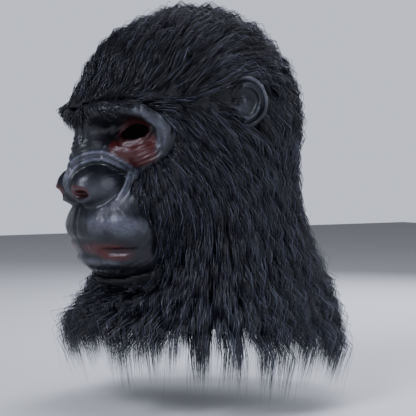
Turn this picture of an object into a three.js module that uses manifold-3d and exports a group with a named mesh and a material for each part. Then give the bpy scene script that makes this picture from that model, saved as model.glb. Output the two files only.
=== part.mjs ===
import * as THREE from 'three';
import { mergeVertices } from 'three/addons/utils/BufferGeometryUtils.js';
import Module from 'manifold-3d';

// Gorilla mask: a moulded latex face and two latex ears on a cloth hood, under five panels of
// long fur. Millimetres, +Z up. The face looks along -Y and the wearer's left is +X. The origin
// is the inside of the hood's top, where the wearer's crown touches it.

const wasm = await Module();
wasm.setup();

// Driving sizes.
const HEAD_WIDTH = 168;
const HEAD_LENGTH = 212;
const HEAD_HEIGHT = 192;
const NECK_WIDTH = 256;
const NECK_LENGTH = 260;
const MUZZLE_WIDTH = 126;
const NOSE_WIDTH = 74;
const EYE_SPACING = 72;
const EYE_WIDTH = 37;
const EYE_HEIGHT = 14;
const EAR_HEIGHT = 50;
const EAR_WIDTH = 43;
const EAR_DEPTH = 14;
const FACE_WALL = 3;
const HOOD_WALL = 2.5;
const FUR_DEPTH = 18;
const TIP_LENGTH = 52;
const GAP = 0.3;

// Rounded masses. Columns: side, ahead and down of the centre, half side, half ahead, half down,
// and the blend into the masses before. Side is a share of the width that each is used with,
// ahead of the head's length, down and blend of its height.
const SKULL = [0, -0.009, 0.487, 0.5, 0.5, 0.5, 0];
const FOREHEAD = [0, 0.217, 0.458, 0.393, 0.349, 0.323, 0.104];
const CHEEKBONE = [0.286, 0.236, 0.859, 0.179, 0.189, 0.229, 0.083];
const MUZZLE = [0, 0.363, 1.062, 0.5, 0.283, 0.25, 0.073];
const JAW = [0, 0.321, 1.229, 0.46, 0.25, 0.135, 0.062];
const NOSE_SIDE = [0.446, 0.325, 0.943, 0.324, 0.17, 0.182, 0.052];
const SOCKET = [0.597, 0.495, 0.578, 0.361, 0.142, 0.065, 0.042];
const BAG_OUTER = [0.556, 0.311, 0.698, 0.347, 0.156, 0.102, 0.021];
const BAG_INNER = [0.333, 0.377, 0.682, 0.264, 0.146, 0.094, 0.042];
const NOSE_TIP = [0, 0.599, 0.839, 0.23, 0.127, 0.104, 0.042];
const NOSE_WING = [0.243, 0.547, 0.859, 0.25, 0.123, 0.117, 0.031];
const NOSTRIL = [0.243, 0.679, 0.896, 0.122, 0.066, 0.031, 0.026];

// Rounded ridges through points. Columns: side, ahead, down, radius as a share of head height.
const BROW = [
  [0, 0.538, 0.531, 0.068],
  [0.306, 0.542, 0.51, 0.07],
  [0.569, 0.5, 0.487, 0.065],
  [0.778, 0.425, 0.479, 0.062],
  [0.889, 0.344, 0.526, 0.057],
  [0.917, 0.302, 0.604, 0.052],
  [0.833, 0.311, 0.698, 0.047],
  [0.667, 0.358, 0.776, 0.036],
];
const BRIDGE = [
  [0, 0.571, 0.562, 0.073],
  [0, 0.58, 0.75, 0.094],
];
const UPPER_LIP = [
  [0, 0.571, 1.161, 0.049],
  [0.206, 0.528, 1.161, 0.047],
  [0.357, 0.429, 1.177, 0.031],
];
const LOWER_LIP = [
  [0, 0.557, 1.24, 0.047],
  [0.19, 0.514, 1.24, 0.044],
  [0.365, 0.415, 1.208, 0.026],
];
const MOUTH = [
  [0, 0.67, 1.201, 0.01],
  [0.19, 0.618, 1.201, 0.01],
  [0.349, 0.505, 1.195, 0.009],
  [0.421, 0.443, 1.188, 0.006],
];
const BROW_BLEND = 0.063;
const BRIDGE_BLEND = 0.052;
const UPPER_LIP_BLEND = 0.031;
const LOWER_LIP_BLEND = 0.021;
const MOUTH_BLEND = 0.013;

// The neck's sections. Columns: down as a share of head height, half width as a share of
// NECK_WIDTH, reach ahead and behind as shares of NECK_LENGTH.
const DRAPE = [
  [0, 0.305, 0.146, 0.396],
  [0.573, 0.312, 0.154, 0.396],
  [0.781, 0.324, 0.177, 0.4],
  [1.042, 0.344, 0.208, 0.423],
  [1.25, 0.375, 0.231, 0.462],
  [1.432, 0.414, 0.285, 0.504],
  [1.589, 0.453, 0.354, 0.542],
  [1.797, 0.5, 0.415, 0.585],
  [2.24, 0.539, 0.454, 0.623],
];
const DRAPE_TOP = 0.583;
const DRAPE_BLEND = 0.083;

// The face's outline, as turns from straight ahead and drops below the crown. Columns of
// SIDE_LINE: drop as a share of head height, half turn in degrees. Columns of the others: share
// of the half turn, drop as a share of head height.
const SIDE_LINE = [
  [0.495, 44],
  [0.589, 53],
  [0.703, 46],
  [0.776, 34],
  [0.859, 26],
  [0.979, 34],
  [1.057, 40],
  [1.156, 43],
  [1.24, 41],
  [1.297, 36],
];
const TOP_LINE = [
  [0, 0.49],
  [0.34, 0.422],
  [0.57, 0.411],
  [0.82, 0.448],
  [1, 0.495],
];
const MOUTH_LINE = [
  [0, 1.201],
  [0.5, 1.198],
  [1, 1.188],
];
const BOTTOM_LINE = [
  [0, 1.349],
  [0.4, 1.339],
  [1, 1.297],
];
const FACE_APEX = 0.87;
const FACE_COLUMNS = 28;
const FACE_ROWS = [0, 0.05, 0.1, 0.145, 0.19, 0.235, 0.28, 0.325, 0.37, 0.415, 0.455, 0.495, 0.535,
  0.565, 0.6, 0.64, 0.69, 0.745, 0.8, 0.85, 0.9, 0.94, 0.975, 1, 1.1, 1.22, 1.4, 1.65, 2];

// Rows of the hood below its crown, and of the neck below its hem, as shares of head height.
const HOOD_ROWS = [-0.208, -0.026, 0.146, 0.302, 0.438, 0.542, 0.677, 0.823, 0.969, 1.115, 1.25, 1.344,
  1.396, 1.469, 1.562];
const NECK_ROWS = [1.797, 2.005, 2.229];
const HOOD_COLUMNS = 20;

// Fur depth by drop. Columns: drop as a share of head height, share of FUR_DEPTH.
const DEPTH_BY_DROP = [
  [-0.41, 1.05],
  [0.3, 0.88],
  [0.75, 0.86],
  [1.05, 1.1],
  [1.35, 1.3],
  [1.6, 1.35],
  [2.2, 1.1],
];
const FUR_COLUMNS = 60;
const CROWN_COLUMNS = 16;
const CROWN_HALF = 54;
const CROWN_FRONT = 3;
const CROWN_BACK = 166;
const SEAM_DROP = 1.29;
const HEM_DROP = 1.74;
const ZIGZAG = 0.045;
const ROOT_SHARE = 0.45;
const BAND = 0.3;

// Ear profile from the middle of the cup round the rim to the middle of the back. Columns: share
// of the half width, share of EAR_DEPTH.
const EAR_PROFILE = [
  [0, -0.2],
  [0.36, -0.22],
  [0.58, 0.1],
  [0.74, -0.1],
  [0.9, 0.36],
  [0.99, 0.22],
  [1, -0.05],
  [0.84, -0.36],
  [0.45, -0.6],
  [0, -0.64],
];
const EAR_FRONT = 6;
const EAR_SEAT = [0.554, -0.028, 0.427];
const EAR_TURN = 38;

const rad = THREE.MathUtils.degToRad;
const { lerp, clamp, smoothstep } = THREE.MathUtils;

// Value at x of a table of [x, y] rows, as a smooth curve through them.
function curve(rows, x, column = 1) {
  const last = rows.length - 1;
  let i = 0;
  while (i < last - 1 && x > rows[i + 1][0]) i++;
  const slope = (k) => {
    const a = rows[Math.max(k - 1, 0)];
    const b = rows[Math.min(k + 1, last)];
    return (b[column] - a[column]) / (b[0] - a[0]);
  };
  const h = rows[i + 1][0] - rows[i][0];
  const t = clamp((x - rows[i][0]) / h, 0, 1);
  const u = 1 - t;
  return rows[i][column] * u * u * (1 + 2 * t) + rows[i + 1][column] * t * t * (1 + 2 * u)
    + h * t * u * (u * slope(i) - t * slope(i + 1));
}

const join = (a, b, k) => Math.min(a, b) - (Math.max(k - Math.abs(a - b), 0) / k) ** 2 * k / 4;
const carve = (a, b, k) => -join(-a, b, k);

// Signed distances from q = [side, ahead, down], in mm: one rounded mass, and one ridge.
function mass(q, row, width) {
  const scale = [width, HEAD_LENGTH, HEAD_HEIGHT];
  let near = 0;
  let steep = 0;
  for (let i = 0; i < 3; i++) {
    const half = row[i + 3] * scale[i];
    const t = (q[i] - row[i] * scale[i]) / half;
    near += t * t;
    steep += (t / half) ** 2;
  }
  near = Math.sqrt(near);
  return near * (near - 1) / Math.max(Math.sqrt(steep), 1e-6);
}

function ridge(q, rows, width) {
  let best = Infinity;
  for (let i = 0; i < rows.length - 1; i++) {
    const [a, b] = [rows[i], rows[i + 1]].map((row) =>
      [row[0] * width, row[1] * HEAD_LENGTH, row[2] * HEAD_HEIGHT]);
    const along = b.map((v, k) => v - a[k]);
    const dot = along.reduce((sum, v, k) => sum + v * (q[k] - a[k]), 0);
    const t = clamp(dot / along.reduce((sum, v) => sum + v * v, 0), 0, 1);
    const away = Math.hypot(...along.map((v, k) => q[k] - a[k] - t * v));
    best = Math.min(best, away - lerp(rows[i][3], rows[i + 1][3], t) * HEAD_HEIGHT);
  }
  return best;
}

function drape(q) {
  const down = q[2] / HEAD_HEIGHT;
  const half = curve(DRAPE, down) * NECK_WIDTH;
  const reach = curve(DRAPE, down, q[1] > 0 ? 2 : 3) * NECK_LENGTH;
  const near = Math.hypot(q[0] / half, q[1] / reach);
  const steep = Math.hypot(q[0] / half ** 2, q[1] / reach ** 2);
  const wall = near * (near - 1) / Math.max(steep, 1e-6);
  return carve(wall, q[2] - DRAPE_TOP * HEAD_HEIGHT, DRAPE_BLEND * HEAD_LENGTH);
}

// The outside of the head, below zero inside it.
function form([x, ahead, down]) {
  const q = [Math.abs(x), ahead, down];
  const add = (d, row, width) => join(d, mass(q, row, width), row[6] * HEAD_HEIGHT);
  const cut = (d, row, width) => carve(d, mass(q, row, width), row[6] * HEAD_HEIGHT);
  let d = mass(q, SKULL, HEAD_WIDTH);
  d = add(d, FOREHEAD, HEAD_WIDTH);
  d = join(d, drape(q), DRAPE_BLEND * HEAD_HEIGHT);
  d = add(d, CHEEKBONE, HEAD_WIDTH);
  d = add(d, MUZZLE, MUZZLE_WIDTH);
  d = add(d, JAW, MUZZLE_WIDTH);
  d = add(d, NOSE_SIDE, NOSE_WIDTH);
  d = join(d, ridge(q, BROW, EYE_SPACING), BROW_BLEND * HEAD_HEIGHT);
  d = cut(d, SOCKET, EYE_SPACING);
  d = add(d, BAG_OUTER, EYE_SPACING);
  d = add(d, BAG_INNER, EYE_SPACING);
  d = join(d, ridge(q, BRIDGE, NOSE_WIDTH), BRIDGE_BLEND * HEAD_HEIGHT);
  d = add(d, NOSE_TIP, NOSE_WIDTH);
  d = add(d, NOSE_WING, NOSE_WIDTH);
  d = cut(d, NOSTRIL, NOSE_WIDTH);
  d = join(d, ridge(q, UPPER_LIP, MUZZLE_WIDTH), UPPER_LIP_BLEND * HEAD_HEIGHT);
  d = join(d, ridge(q, LOWER_LIP, MUZZLE_WIDTH), LOWER_LIP_BLEND * HEAD_HEIGHT);
  return carve(d, ridge(q, MOUTH, MUZZLE_WIDTH), MOUTH_BLEND * HEAD_HEIGHT);
}

// Every sheet is laid out on rays from one spine: level below its top, fanned upward above it.
// A turn is in degrees from straight ahead towards the wearer's left. A drop is in mm.
const SPINE_AHEAD = 0.024 * HEAD_LENGTH;
const SPINE_TOP = 0.495 * HEAD_HEIGHT;
const FAN_RADIUS = 0.52 * HEAD_LENGTH;
const POLE_DROP = SPINE_TOP - FAN_RADIUS * Math.PI / 2;
const FAR = 1.25 * HEAD_LENGTH;
const NEAR = 0.1 * HEAD_LENGTH;

function ray(turn, drop) {
  const tilt = Math.max(0, (SPINE_TOP - drop) / FAN_RADIUS);
  const out = Math.cos(tilt);
  return {
    from: [0, SPINE_AHEAD, Math.max(drop, SPINE_TOP)],
    to: [out * Math.sin(rad(turn)), out * Math.cos(rad(turn)), -Math.sin(tilt)],
  };
}

const along = ({ from, to }, t) => from.map((v, i) => v + to[i] * t);
const world = ([side, ahead, down]) => [side, -ahead, -down];

// The outermost point on a line that is level mm outside the head's form.
function meet(line, level) {
  let t = FAR;
  for (let i = 0; i < 90; i++) {
    const step = clamp(0.8 * (form(along(line, t)) - level), -3, 30);
    t = Math.max(t - step, 0);
    if (Math.abs(step) < 1e-4) break;
  }
  return along(line, t);
}
const reach = (turn, drop, level) => meet(ray(turn, drop), level);

// A closed body between two sheets of points with the same rows and columns.
function between(outer, inner, round = false) {
  const rows = outer.length;
  const columns = outer[0].length;
  const points = [...outer.flat(), ...inner.flat()].flatMap(world);
  const id = (side, r, c) => (side * rows + r) * columns + (c % columns);
  const index = [];
  const spans = round ? columns : columns - 1;
  const quad = (a, b, c, d, turned = false) => {
    if (turned) index.push(a, b, d, b, c, d);
    else index.push(a, b, c, a, c, d);
  };
  for (let c = 0; c < spans; c++) {
    for (let r = 0; r < rows - 1; r++) {
      const left = 2 * c < spans;
      quad(id(0, r, c), id(0, r + 1, c), id(0, r + 1, c + 1), id(0, r, c + 1), left);
      quad(id(1, r, c), id(1, r, c + 1), id(1, r + 1, c + 1), id(1, r + 1, c), left);
    }
    quad(id(1, 0, c), id(0, 0, c), id(0, 0, c + 1), id(1, 0, c + 1));
    quad(id(0, rows - 1, c), id(1, rows - 1, c), id(1, rows - 1, c + 1), id(0, rows - 1, c + 1));
  }
  for (let r = 0; r < rows - 1 && !round; r++) {
    quad(id(0, r, 0), id(1, r, 0), id(1, r + 1, 0), id(0, r + 1, 0));
    quad(id(1, r, columns - 1), id(0, r, columns - 1), id(0, r + 1, columns - 1),
      id(1, r + 1, columns - 1));
  }
  const geometry = new THREE.BufferGeometry();
  geometry.setAttribute('position', new THREE.Float32BufferAttribute(points, 3));
  geometry.setIndex(index);
  return solid(geometry);
}

function solid(geometry) {
  geometry.deleteAttribute('normal');
  geometry.deleteAttribute('uv');
  const merged = mergeVertices(geometry, 1e-3);
  const all = merged.index.array;
  const kept = [];
  for (let i = 0; i < all.length; i += 3) {
    const [a, b, c] = all.slice(i, i + 3);
    if (a !== b && b !== c && c !== a) kept.push(a, b, c);
  }
  const body = new wasm.Manifold(new wasm.Mesh({
    numProp: 3,
    vertProperties: new Float32Array(merged.attributes.position.array),
    triVerts: new Uint32Array(kept),
  }));
  return body;
}

// A grid of points from a list of rows and a list of columns.
const sheet = (rows, columns, point) => rows.map((r) => columns.map((c) => point(r, c)));
const steps = (from, to, count) =>
  Array.from({ length: count + 1 }, (_, i) => lerp(from, to, i / count));

// Face, whose columns run from -1 to 1 and whose rows run 0 brow, 1 mouth, 2 chin.
function onFace(row, column, spread = 0) {
  const u = Math.abs(column);
  const line = (share) => {
    const [top, mouth, bottom] = [TOP_LINE, MOUTH_LINE, BOTTOM_LINE].map((rows) =>
      curve(rows, share));
    return (row < 1 ? lerp(top, mouth, row) : lerp(mouth, bottom, row - 1)) * HEAD_HEIGHT;
  };
  const half = curve(SIDE_LINE, line(1) / HEAD_HEIGHT);
  const wider = THREE.MathUtils.radToDeg(spread / (HEAD_LENGTH / 2));
  const push = (row === 0 ? -1 : row === 2 ? 1 : 0) * spread;
  return [column * (half + wider), line(u) + push];
}

const faceColumns = steps(-1, 1, FACE_COLUMNS);
// Lines from one apex through the outline, eased across the face from the depths at its edges.
function faceLines(spread) {
  const depth = (row, column) => {
    const spot = onFace(row, column, spread);
    const end = reach(...spot, 0);
    return Math.hypot(...end.map((v, i) => v - ray(...spot).from[i]));
  };
  const edge = FACE_ROWS.map((row) => depth(row, 1));
  const [top, bottom] = [0, 2].map((row) => faceColumns.map((column) => depth(row, column)));
  return FACE_ROWS.map((row, r) => faceColumns.map((column, c) => {
    const across = (at) => lerp(top[at], bottom[at], row / 2);
    const t = across(c) + edge[r] - across(FACE_COLUMNS);
    const from = [0, 0, FACE_APEX * HEAD_HEIGHT];
    const to = along(ray(...onFace(row, column, spread)), t).map((v, i) => v - from[i]);
    const length = Math.hypot(...to);
    return { from, to: to.map((v) => v / length) };
  }));
}
const faceSheet = (level) => faceLines(0).map((row) => row.map((line) => meet(line, level)));
const opening = (spread) => between(...[FAR, NEAR].map((t) =>
  faceLines(spread).map((row) => row.map((line) => along(line, t)))));
const faceOpening = opening(GAP);

function eyeHole(side) {
  const [half, tall] = [EYE_WIDTH / 2, EYE_HEIGHT];
  const shape = new THREE.Shape();
  shape.moveTo(-half, 0);
  shape.quadraticCurveTo(0, tall, half, 0);
  shape.quadraticCurveTo(0, -tall, -half, 0);
  const depth = 0.24 * HEAD_LENGTH;
  const geometry = new THREE.ExtrudeGeometry(shape, {
    depth, bevelEnabled: false, curveSegments: 6,
  });
  geometry.translate(0, 0, -depth / 2);
  geometry.rotateZ(rad(14) * side);
  geometry.rotateX(rad(90));
  geometry.rotateZ(rad(24) * side);
  geometry.translate(side * EYE_SPACING / 2, -0.42 * HEAD_LENGTH, -0.583 * HEAD_HEIGHT);
  return solid(geometry);
}

const face = between(faceSheet(0), faceSheet(-FACE_WALL)).subtract(eyeHole(1)).subtract(eyeHole(-1));

// Hood, and the solid core that everything laid on it is cut by.
const hoodTurns = steps(-180, 180, HOOD_COLUMNS).slice(0, -1);
const crownSheet = (rows, level) => sheet([POLE_DROP, ...rows.map((v) => v * HEAD_HEIGHT)],
  hoodTurns, (drop, turn) => reach(turn, drop, level));
const hood = between(crownSheet(HOOD_ROWS, 0), crownSheet(HOOD_ROWS, -HOOD_WALL), true)
  .subtract(faceOpening);
const coreRows = [...HOOD_ROWS, ...NECK_ROWS];
const coreOuter = crownSheet(coreRows, GAP);
const coreInner = sheet([POLE_DROP, ...coreRows.map((v) => v * HEAD_HEIGHT)], hoodTurns,
  (drop, turn) => along(ray(turn, drop), NEAR));
const core = between(coreOuter, coreInner, true);

// Fur. Each panel is a sheet of overlapping tiers of pointed locks. A column is a lock's ridge in
// one tier and the valley between two locks in the next.
const hash = (a, b) => {
  const s = Math.sin(a * 12.9898 + b * 78.233) * 43758.5453;
  return s - Math.floor(s);
};
const faceEdge = [
  ...FACE_ROWS.map((row) => reach(...onFace(row, 1), 0)),
  ...faceColumns.filter((c) => c >= 0).flatMap((c) => [reach(...onFace(0, c), 0),
    reach(...onFace(2, c), 0)]),
];

function furDepth(turn, drop) {
  const [side, ahead, down] = reach(turn, drop, 0);
  const away = Math.min(...faceEdge.map((p) =>
    Math.hypot(Math.abs(side) - Math.abs(p[0]), ahead - p[1], down - p[2])));
  const beard = smoothstep(drop / HEAD_HEIGHT, 1.3, 1.5) * Math.max(0, Math.cos(rad(turn))) ** 2;
  const share = curve(DEPTH_BY_DROP, drop / HEAD_HEIGHT) * (1 + 0.35 * beard);
  return FUR_DEPTH * share * lerp(0.4, 1, smoothstep(away, 0, 0.2 * HEAD_LENGTH));
}

// place(column, share, shift) gives a turn and drop. Each panel ends in a low band at its seam,
// or in loose tips.
function fur(columns, tiers, place, { round = false, loose = 0 } = {}) {
  const outer = [];
  const inner = [];
  const row = (share, shift, height) => {
    const spots = columns.map((k) => place(k, share, shift(k) * HEAD_LENGTH));
    outer.push(spots.map(([turn, drop], i) =>
      reach(turn, drop, Math.max(furDepth(turn, drop) * height(columns[i]), 10 * GAP))));
    inner.push(spots.map(([turn, drop]) => reach(turn, drop, -2 * HOOD_WALL)));
  };
  const still = () => 0;
  const spans = loose ? tiers : tiers + BAND;
  let shift = still;
  for (let tier = 0; tier < tiers; tier++) {
    const ridge = (k) => (Math.round(k) + tiers - 1 - tier) % 2 !== 0;
    const vary = (k) => 0.92 + 0.16 * hash(k, tier);
    const free = loose && tier === tiers - 1;
    row((tier + 0.01) / spans, shift, () => ROOT_SHARE);
    row((tier + 0.5) / spans, still, (k) => (ridge(k) ? 1 : 0.7) * vary(k));
    shift = free ? (k) => (ridge(k) ? loose * (0.35 + 0.65 * hash(k, 9)) / HEAD_LENGTH : 0)
      : (k) => ZIGZAG * (ridge(k) ? 1 : -0.5);
    row((tier + 1) / spans, shift, (k) =>
      (ridge(k) ? (free ? 0.14 : 0.9) : (free ? 0.4 : 0.58)) * vary(k));
  }
  if (!loose) {
    row((tiers + 0.01) / spans, shift, () => ROOT_SHARE);
    row(1, still, () => ROOT_SHARE);
  }
  return between(outer, inner, round);
}

// Crown: columns across the head from left to right, rows from the brow over the top to the nape.
const crownFront = (slant) => lerp(-4, CROWN_FRONT, smoothstep(Math.abs(slant), 26, 33));
const crownHalf = CROWN_COLUMNS / 2;
const furCrown = fur(steps(-crownHalf, crownHalf, CROWN_COLUMNS), 7, (k, share, shift) => {
  const slant = CROWN_HALF * k / crownHalf;
  const b = -rad(slant);
  const a = rad(lerp(crownFront(slant), CROWN_BACK, share)) + shift / FAN_RADIUS;
  const turn = Math.atan2(Math.sin(b), Math.cos(b) * Math.cos(a));
  const up = Math.asin(Math.cos(b) * Math.sin(a));
  return [THREE.MathUtils.radToDeg(turn), SPINE_TOP - up * FAN_RADIUS];
});

// Cheeks and back: columns round the head, from under the crown's edge to the neck seam.
function crownEdge(turn) {
  const [s, c] = [Math.abs(Math.sin(rad(turn))), Math.cos(rad(turn))];
  const half = Math.sin(rad(CROWN_HALF));
  const side = s > half ? Math.acos(half / s) : 0;
  const end = c > 0 ? Math.atan(c * Math.tan(rad(CROWN_FRONT)))
    : Math.atan(-c * Math.tan(rad(180 - CROWN_BACK)));
  return SPINE_TOP - FAN_RADIUS * Math.max(side, end) + 1.2 * GAP;
}
const seam = SEAM_DROP * HEAD_HEIGHT;
const quarter = FUR_COLUMNS / 4;
const columnTurn = 90 / quarter;
const corners = [CROWN_FRONT, CROWN_BACK].map((arc) => THREE.MathUtils.radToDeg(
  Math.atan2(Math.sin(rad(CROWN_HALF)), Math.cos(rad(CROWN_HALF)) * Math.cos(rad(arc)))));
// The turn of a column, moved onto the crown's nearest corner where it is close to one.
const turnOf = (k) => {
  const turn = k * columnTurn;
  const all = corners.flatMap((corner) => [corner, 360 - corner]);
  return all.find((corner) => Math.abs(corner - turn) < columnTurn / 2) ?? turn;
};
const sideGap = GAP / 2 / rad(columnTurn) / (HEAD_WIDTH / 2);
const sidePanel = (from, to) => fur(steps(from, to, Math.round(to - from)), 4, (k, share, shift) => {
  const turn = turnOf(k);
  return [turn, lerp(crownEdge(turn), seam - GAP / 2, share) + shift];
});
const furCheekLeft = sidePanel(4, quarter - sideGap);
const furCheekRight = sidePanel(3 * quarter + sideGap, FUR_COLUMNS - 4);
const furBack = sidePanel(quarter + sideGap, 3 * quarter - sideGap);

// Skirt: the neck and beard tier, right round, ending in loose tips.
const furSkirt = fur(steps(0, FUR_COLUMNS - 1, FUR_COLUMNS - 1), 2, (k, share, shift) =>
  [k * columnTurn, lerp(seam + GAP / 2, HEM_DROP * HEAD_HEIGHT, share) + shift],
{ round: true, loose: TIP_LENGTH });

// Ears, as dished discs seated on the hood through the fur.
function ear(side, swell = 0) {
  const profile = EAR_PROFILE.map(([out, lift], i) => new THREE.Vector2(
    out * (EAR_WIDTH / 2 + swell),
    lift * EAR_DEPTH + (i < EAR_FRONT ? swell : -swell),
  )).reverse();
  const geometry = new THREE.LatheGeometry(profile, 14);
  geometry.scale(EAR_HEIGHT / EAR_WIDTH, 1, 1);
  const [c, s] = [Math.cos(rad(EAR_TURN)), Math.sin(rad(EAR_TURN))];
  geometry.applyMatrix4(new THREE.Matrix4().makeBasis(
    new THREE.Vector3(0, 0, 1),
    new THREE.Vector3(c, -s, 0),
    new THREE.Vector3(s, c, 0),
  ));
  const [out, ahead, down] = EAR_SEAT;
  geometry.translate(out * HEAD_WIDTH, -ahead * HEAD_LENGTH, -down * HEAD_HEIGHT);
  const body = solid(geometry);
  return side > 0 ? body : body.mirror([1, 0, 0]);
}

const black = { roughness: 0.55, metalness: 0 };
const latex = new THREE.MeshStandardMaterial({ name: 'latex', color: '#24252b', ...black });
const cloth = new THREE.MeshStandardMaterial({ name: 'cloth', color: '#1b1b1e', roughness: 0.95 });
const pile = new THREE.MeshStandardMaterial({ name: 'fur', color: '#151518', roughness: 0.85 });

const mask = new THREE.Group();
function place(name, body, material) {
  const shape = body.getMesh();
  const geometry = new THREE.BufferGeometry();
  geometry.setAttribute('position', new THREE.Float32BufferAttribute(shape.vertProperties, 3));
  geometry.setIndex(new THREE.Uint32BufferAttribute(shape.triVerts, 1));
  geometry.computeVertexNormals();
  const mesh = new THREE.Mesh(geometry, material);
  mesh.name = name;
  mask.add(mesh);
}

const largest = (body) => body.decompose().sort((a, b) => b.volume() - a.volume())[0];
const clearOf = (body, ...others) =>
  largest(others.reduce((rest, other) => rest.subtract(other), body));
const earRoom = [ear(1, GAP).hull(), ear(-1, GAP).hull()];
place('face', face, latex);
place('hood', largest(hood), cloth);
place('ear_left', clearOf(ear(1), core), latex);
place('ear_right', clearOf(ear(-1), core), latex);
place('fur_crown', clearOf(furCrown, core, faceOpening), pile);
place('fur_cheek_left', clearOf(furCheekLeft, core, faceOpening, earRoom[0]), pile);
place('fur_cheek_right', clearOf(furCheekRight, core, faceOpening, earRoom[1]), pile);
place('fur_back', clearOf(furBack, core, ...earRoom), pile);
place('fur_skirt', clearOf(furSkirt, core, faceOpening), pile);

export default mask;
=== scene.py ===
import math
from collections import namedtuple

import bmesh
import bpy
import numpy as np
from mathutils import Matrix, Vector


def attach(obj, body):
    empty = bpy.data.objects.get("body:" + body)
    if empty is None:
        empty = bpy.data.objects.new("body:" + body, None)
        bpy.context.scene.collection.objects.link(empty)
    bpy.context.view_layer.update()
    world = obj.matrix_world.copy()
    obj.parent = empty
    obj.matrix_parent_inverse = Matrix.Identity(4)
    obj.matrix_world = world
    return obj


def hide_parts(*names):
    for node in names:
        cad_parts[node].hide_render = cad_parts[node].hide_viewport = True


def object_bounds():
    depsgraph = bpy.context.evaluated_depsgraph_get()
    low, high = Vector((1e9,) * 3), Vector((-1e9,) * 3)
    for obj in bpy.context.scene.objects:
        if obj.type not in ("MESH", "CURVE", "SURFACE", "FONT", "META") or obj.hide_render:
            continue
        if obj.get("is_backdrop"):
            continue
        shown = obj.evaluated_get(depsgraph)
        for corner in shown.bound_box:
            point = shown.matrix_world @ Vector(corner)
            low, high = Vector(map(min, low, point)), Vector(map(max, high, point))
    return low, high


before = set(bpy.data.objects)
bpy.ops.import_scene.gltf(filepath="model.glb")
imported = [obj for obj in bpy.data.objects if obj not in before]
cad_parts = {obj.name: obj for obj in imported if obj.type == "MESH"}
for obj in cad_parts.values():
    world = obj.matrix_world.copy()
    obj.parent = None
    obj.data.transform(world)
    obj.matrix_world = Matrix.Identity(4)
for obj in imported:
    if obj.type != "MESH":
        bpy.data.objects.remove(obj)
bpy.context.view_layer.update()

bl_info = {
    "name": "Gorilla mask",
    "version": (1, 0, 0),
    "blender": (4, 5, 0),
    "location": "3D View > Sidebar > Gorilla mask",
    "description": "Dresses a latex gorilla mask with its painted face, ears and long fur",
    "category": "Object",
}

MM = 0.001
PHOTO_PIXELS = 416
# The photo's pixel column of the head's axis, and its pixel row of the fur's top, which is this
# high in metres.
PHOTO_AXIS = 190
PHOTO_TOP = 4.5
FUR_TOP = 0.024

# Sizes of the head, in mm. Points are (side, ahead, down) from the inside of the hood's top.
HEAD_HEIGHT = 192
FACE_WALL = 2.8
HOOD_WALL = 2.2
# Gap in mm between the head and the inner wall of the underfur.
GAP = 0.4
EYE_HALF = 20.5
EYE_TALL = 8.0
EYE_CENTRE = (37.5, 89.0, 111.5)
EYE_SLANT = math.radians(7)
EYE_TURN = math.radians(30)
NOSTRIL = (19.5, 145.0, 173.0)
NOSTRIL_HALF = (9.0, 13.0, 4.4)
# Lines that lay the face start this far down on the head's axis, and higher up towards the brow.
FACE_APEX = 167.0
APEX_RISE = 1.3
APEX_RISE_FROM = 150.0
# Rough half width of the face, and its heights above and below the mouth.
FACE_HALF = 66.0
FACE_TALL = (136.0, 29.0)
# No part of the face turns further to the side than this, in degrees.
FACE_TURN = 60
SPINE_AHEAD = 5.09
SPINE_TOP = 95.04
FAN_RADIUS = 110.24
POLE_DROP = -78.1
FAR = 265.0
SEAM_DROP = 247.7
HOOD_HEM = 299.5
SKIRT_ROOTS = 304.0
# Furthest that loose pile may stand, so the mask keeps its size.
REACH_SIDE = 157.0
REACH_BACK = 183.0
FUR_DEPTH = 18.0
CROWN_HALF = math.radians(54)
CROWN_FRONT = 3.0
CROWN_BACK = 166.0
EAR_SEAT = np.array([93.1, -5.9, 82.0])
EAR_TURN = math.radians(38)
EAR_HALF = (25.0, 21.5)
EAR_DEPTH = 14.0

# Neck sections: down, half width, reach ahead, reach behind.
DRAPE = np.array([
    (0, 78, 38, 103), (110, 80, 40, 103), (150, 83, 46, 104), (200, 88, 54, 110),
    (240, 96, 60, 120), (275, 106, 74, 131), (305, 116, 92, 141), (345, 128, 108, 152),
    (430, 138, 118, 162),
], float)
DRAPE_TOP = 112.0
# Rounded masses of the head: centre, half sizes, and the blend that joins each to the rest.
SKULL = (0, -2, 93.5), (84, 106, 96)
FORE_SKULL = (0, 46, 88), (66, 74, 62), 20
JAWS = [((48, 50, 165), (30, 40, 44), 16), ((0, 77, 204), (63, 60, 48), 14),
        ((0, 68, 236), (58, 53, 26), 12), ((33, 69, 181), (24, 36, 35), 10)]
BROW_SWELL = (17, 108, 91), (26, 29, 13), 12
SOCKET = (43, 105, 111), (26, 30, 12.5), 8
FINE_SOCKET = (44, 110, 109.5), (27, 24.5, 13.5), 10
INNER_SOCKET = (28, 114, 110.5), (16, 21, 11), 6
BAG = [((40, 66, 134), (25, 33, 19.5), 4), ((24, 80, 131), (19, 31, 18), 8)]
FINE_BAG = (21, 86, 136), (17, 30, 16), 6
NOSE = [((0, 127, 161), (17, 27, 20), 8), ((18, 116, 165), (18.5, 26, 22.5), 6)]
# Ridges of the face: side, ahead, down and radius of each point.
BROW = [(0, 114, 102, 13), (22, 115, 98, 13.5), (41, 106, 93.5, 12.5), (56, 90, 92, 12),
        (64, 73, 101, 11), (66, 64, 116, 10), (60, 66, 134, 9), (48, 76, 149, 7)]
BRIDGE = [(0, 121, 108, 14), (0, 123, 144, 18)]
UPPER_LIP = [(0, 121, 223, 9.5), (26, 112, 223, 9), (45, 91, 226, 6)]
LOWER_LIP = [(0, 118, 238, 9), (24, 109, 238, 8.5), (46, 88, 232, 5)]
MOUTH = [(0, 142, 230.5, 2), (24, 131, 230.5, 2), (44, 107, 229.5, 1.8), (53, 94, 227, 0.5)]

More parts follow.
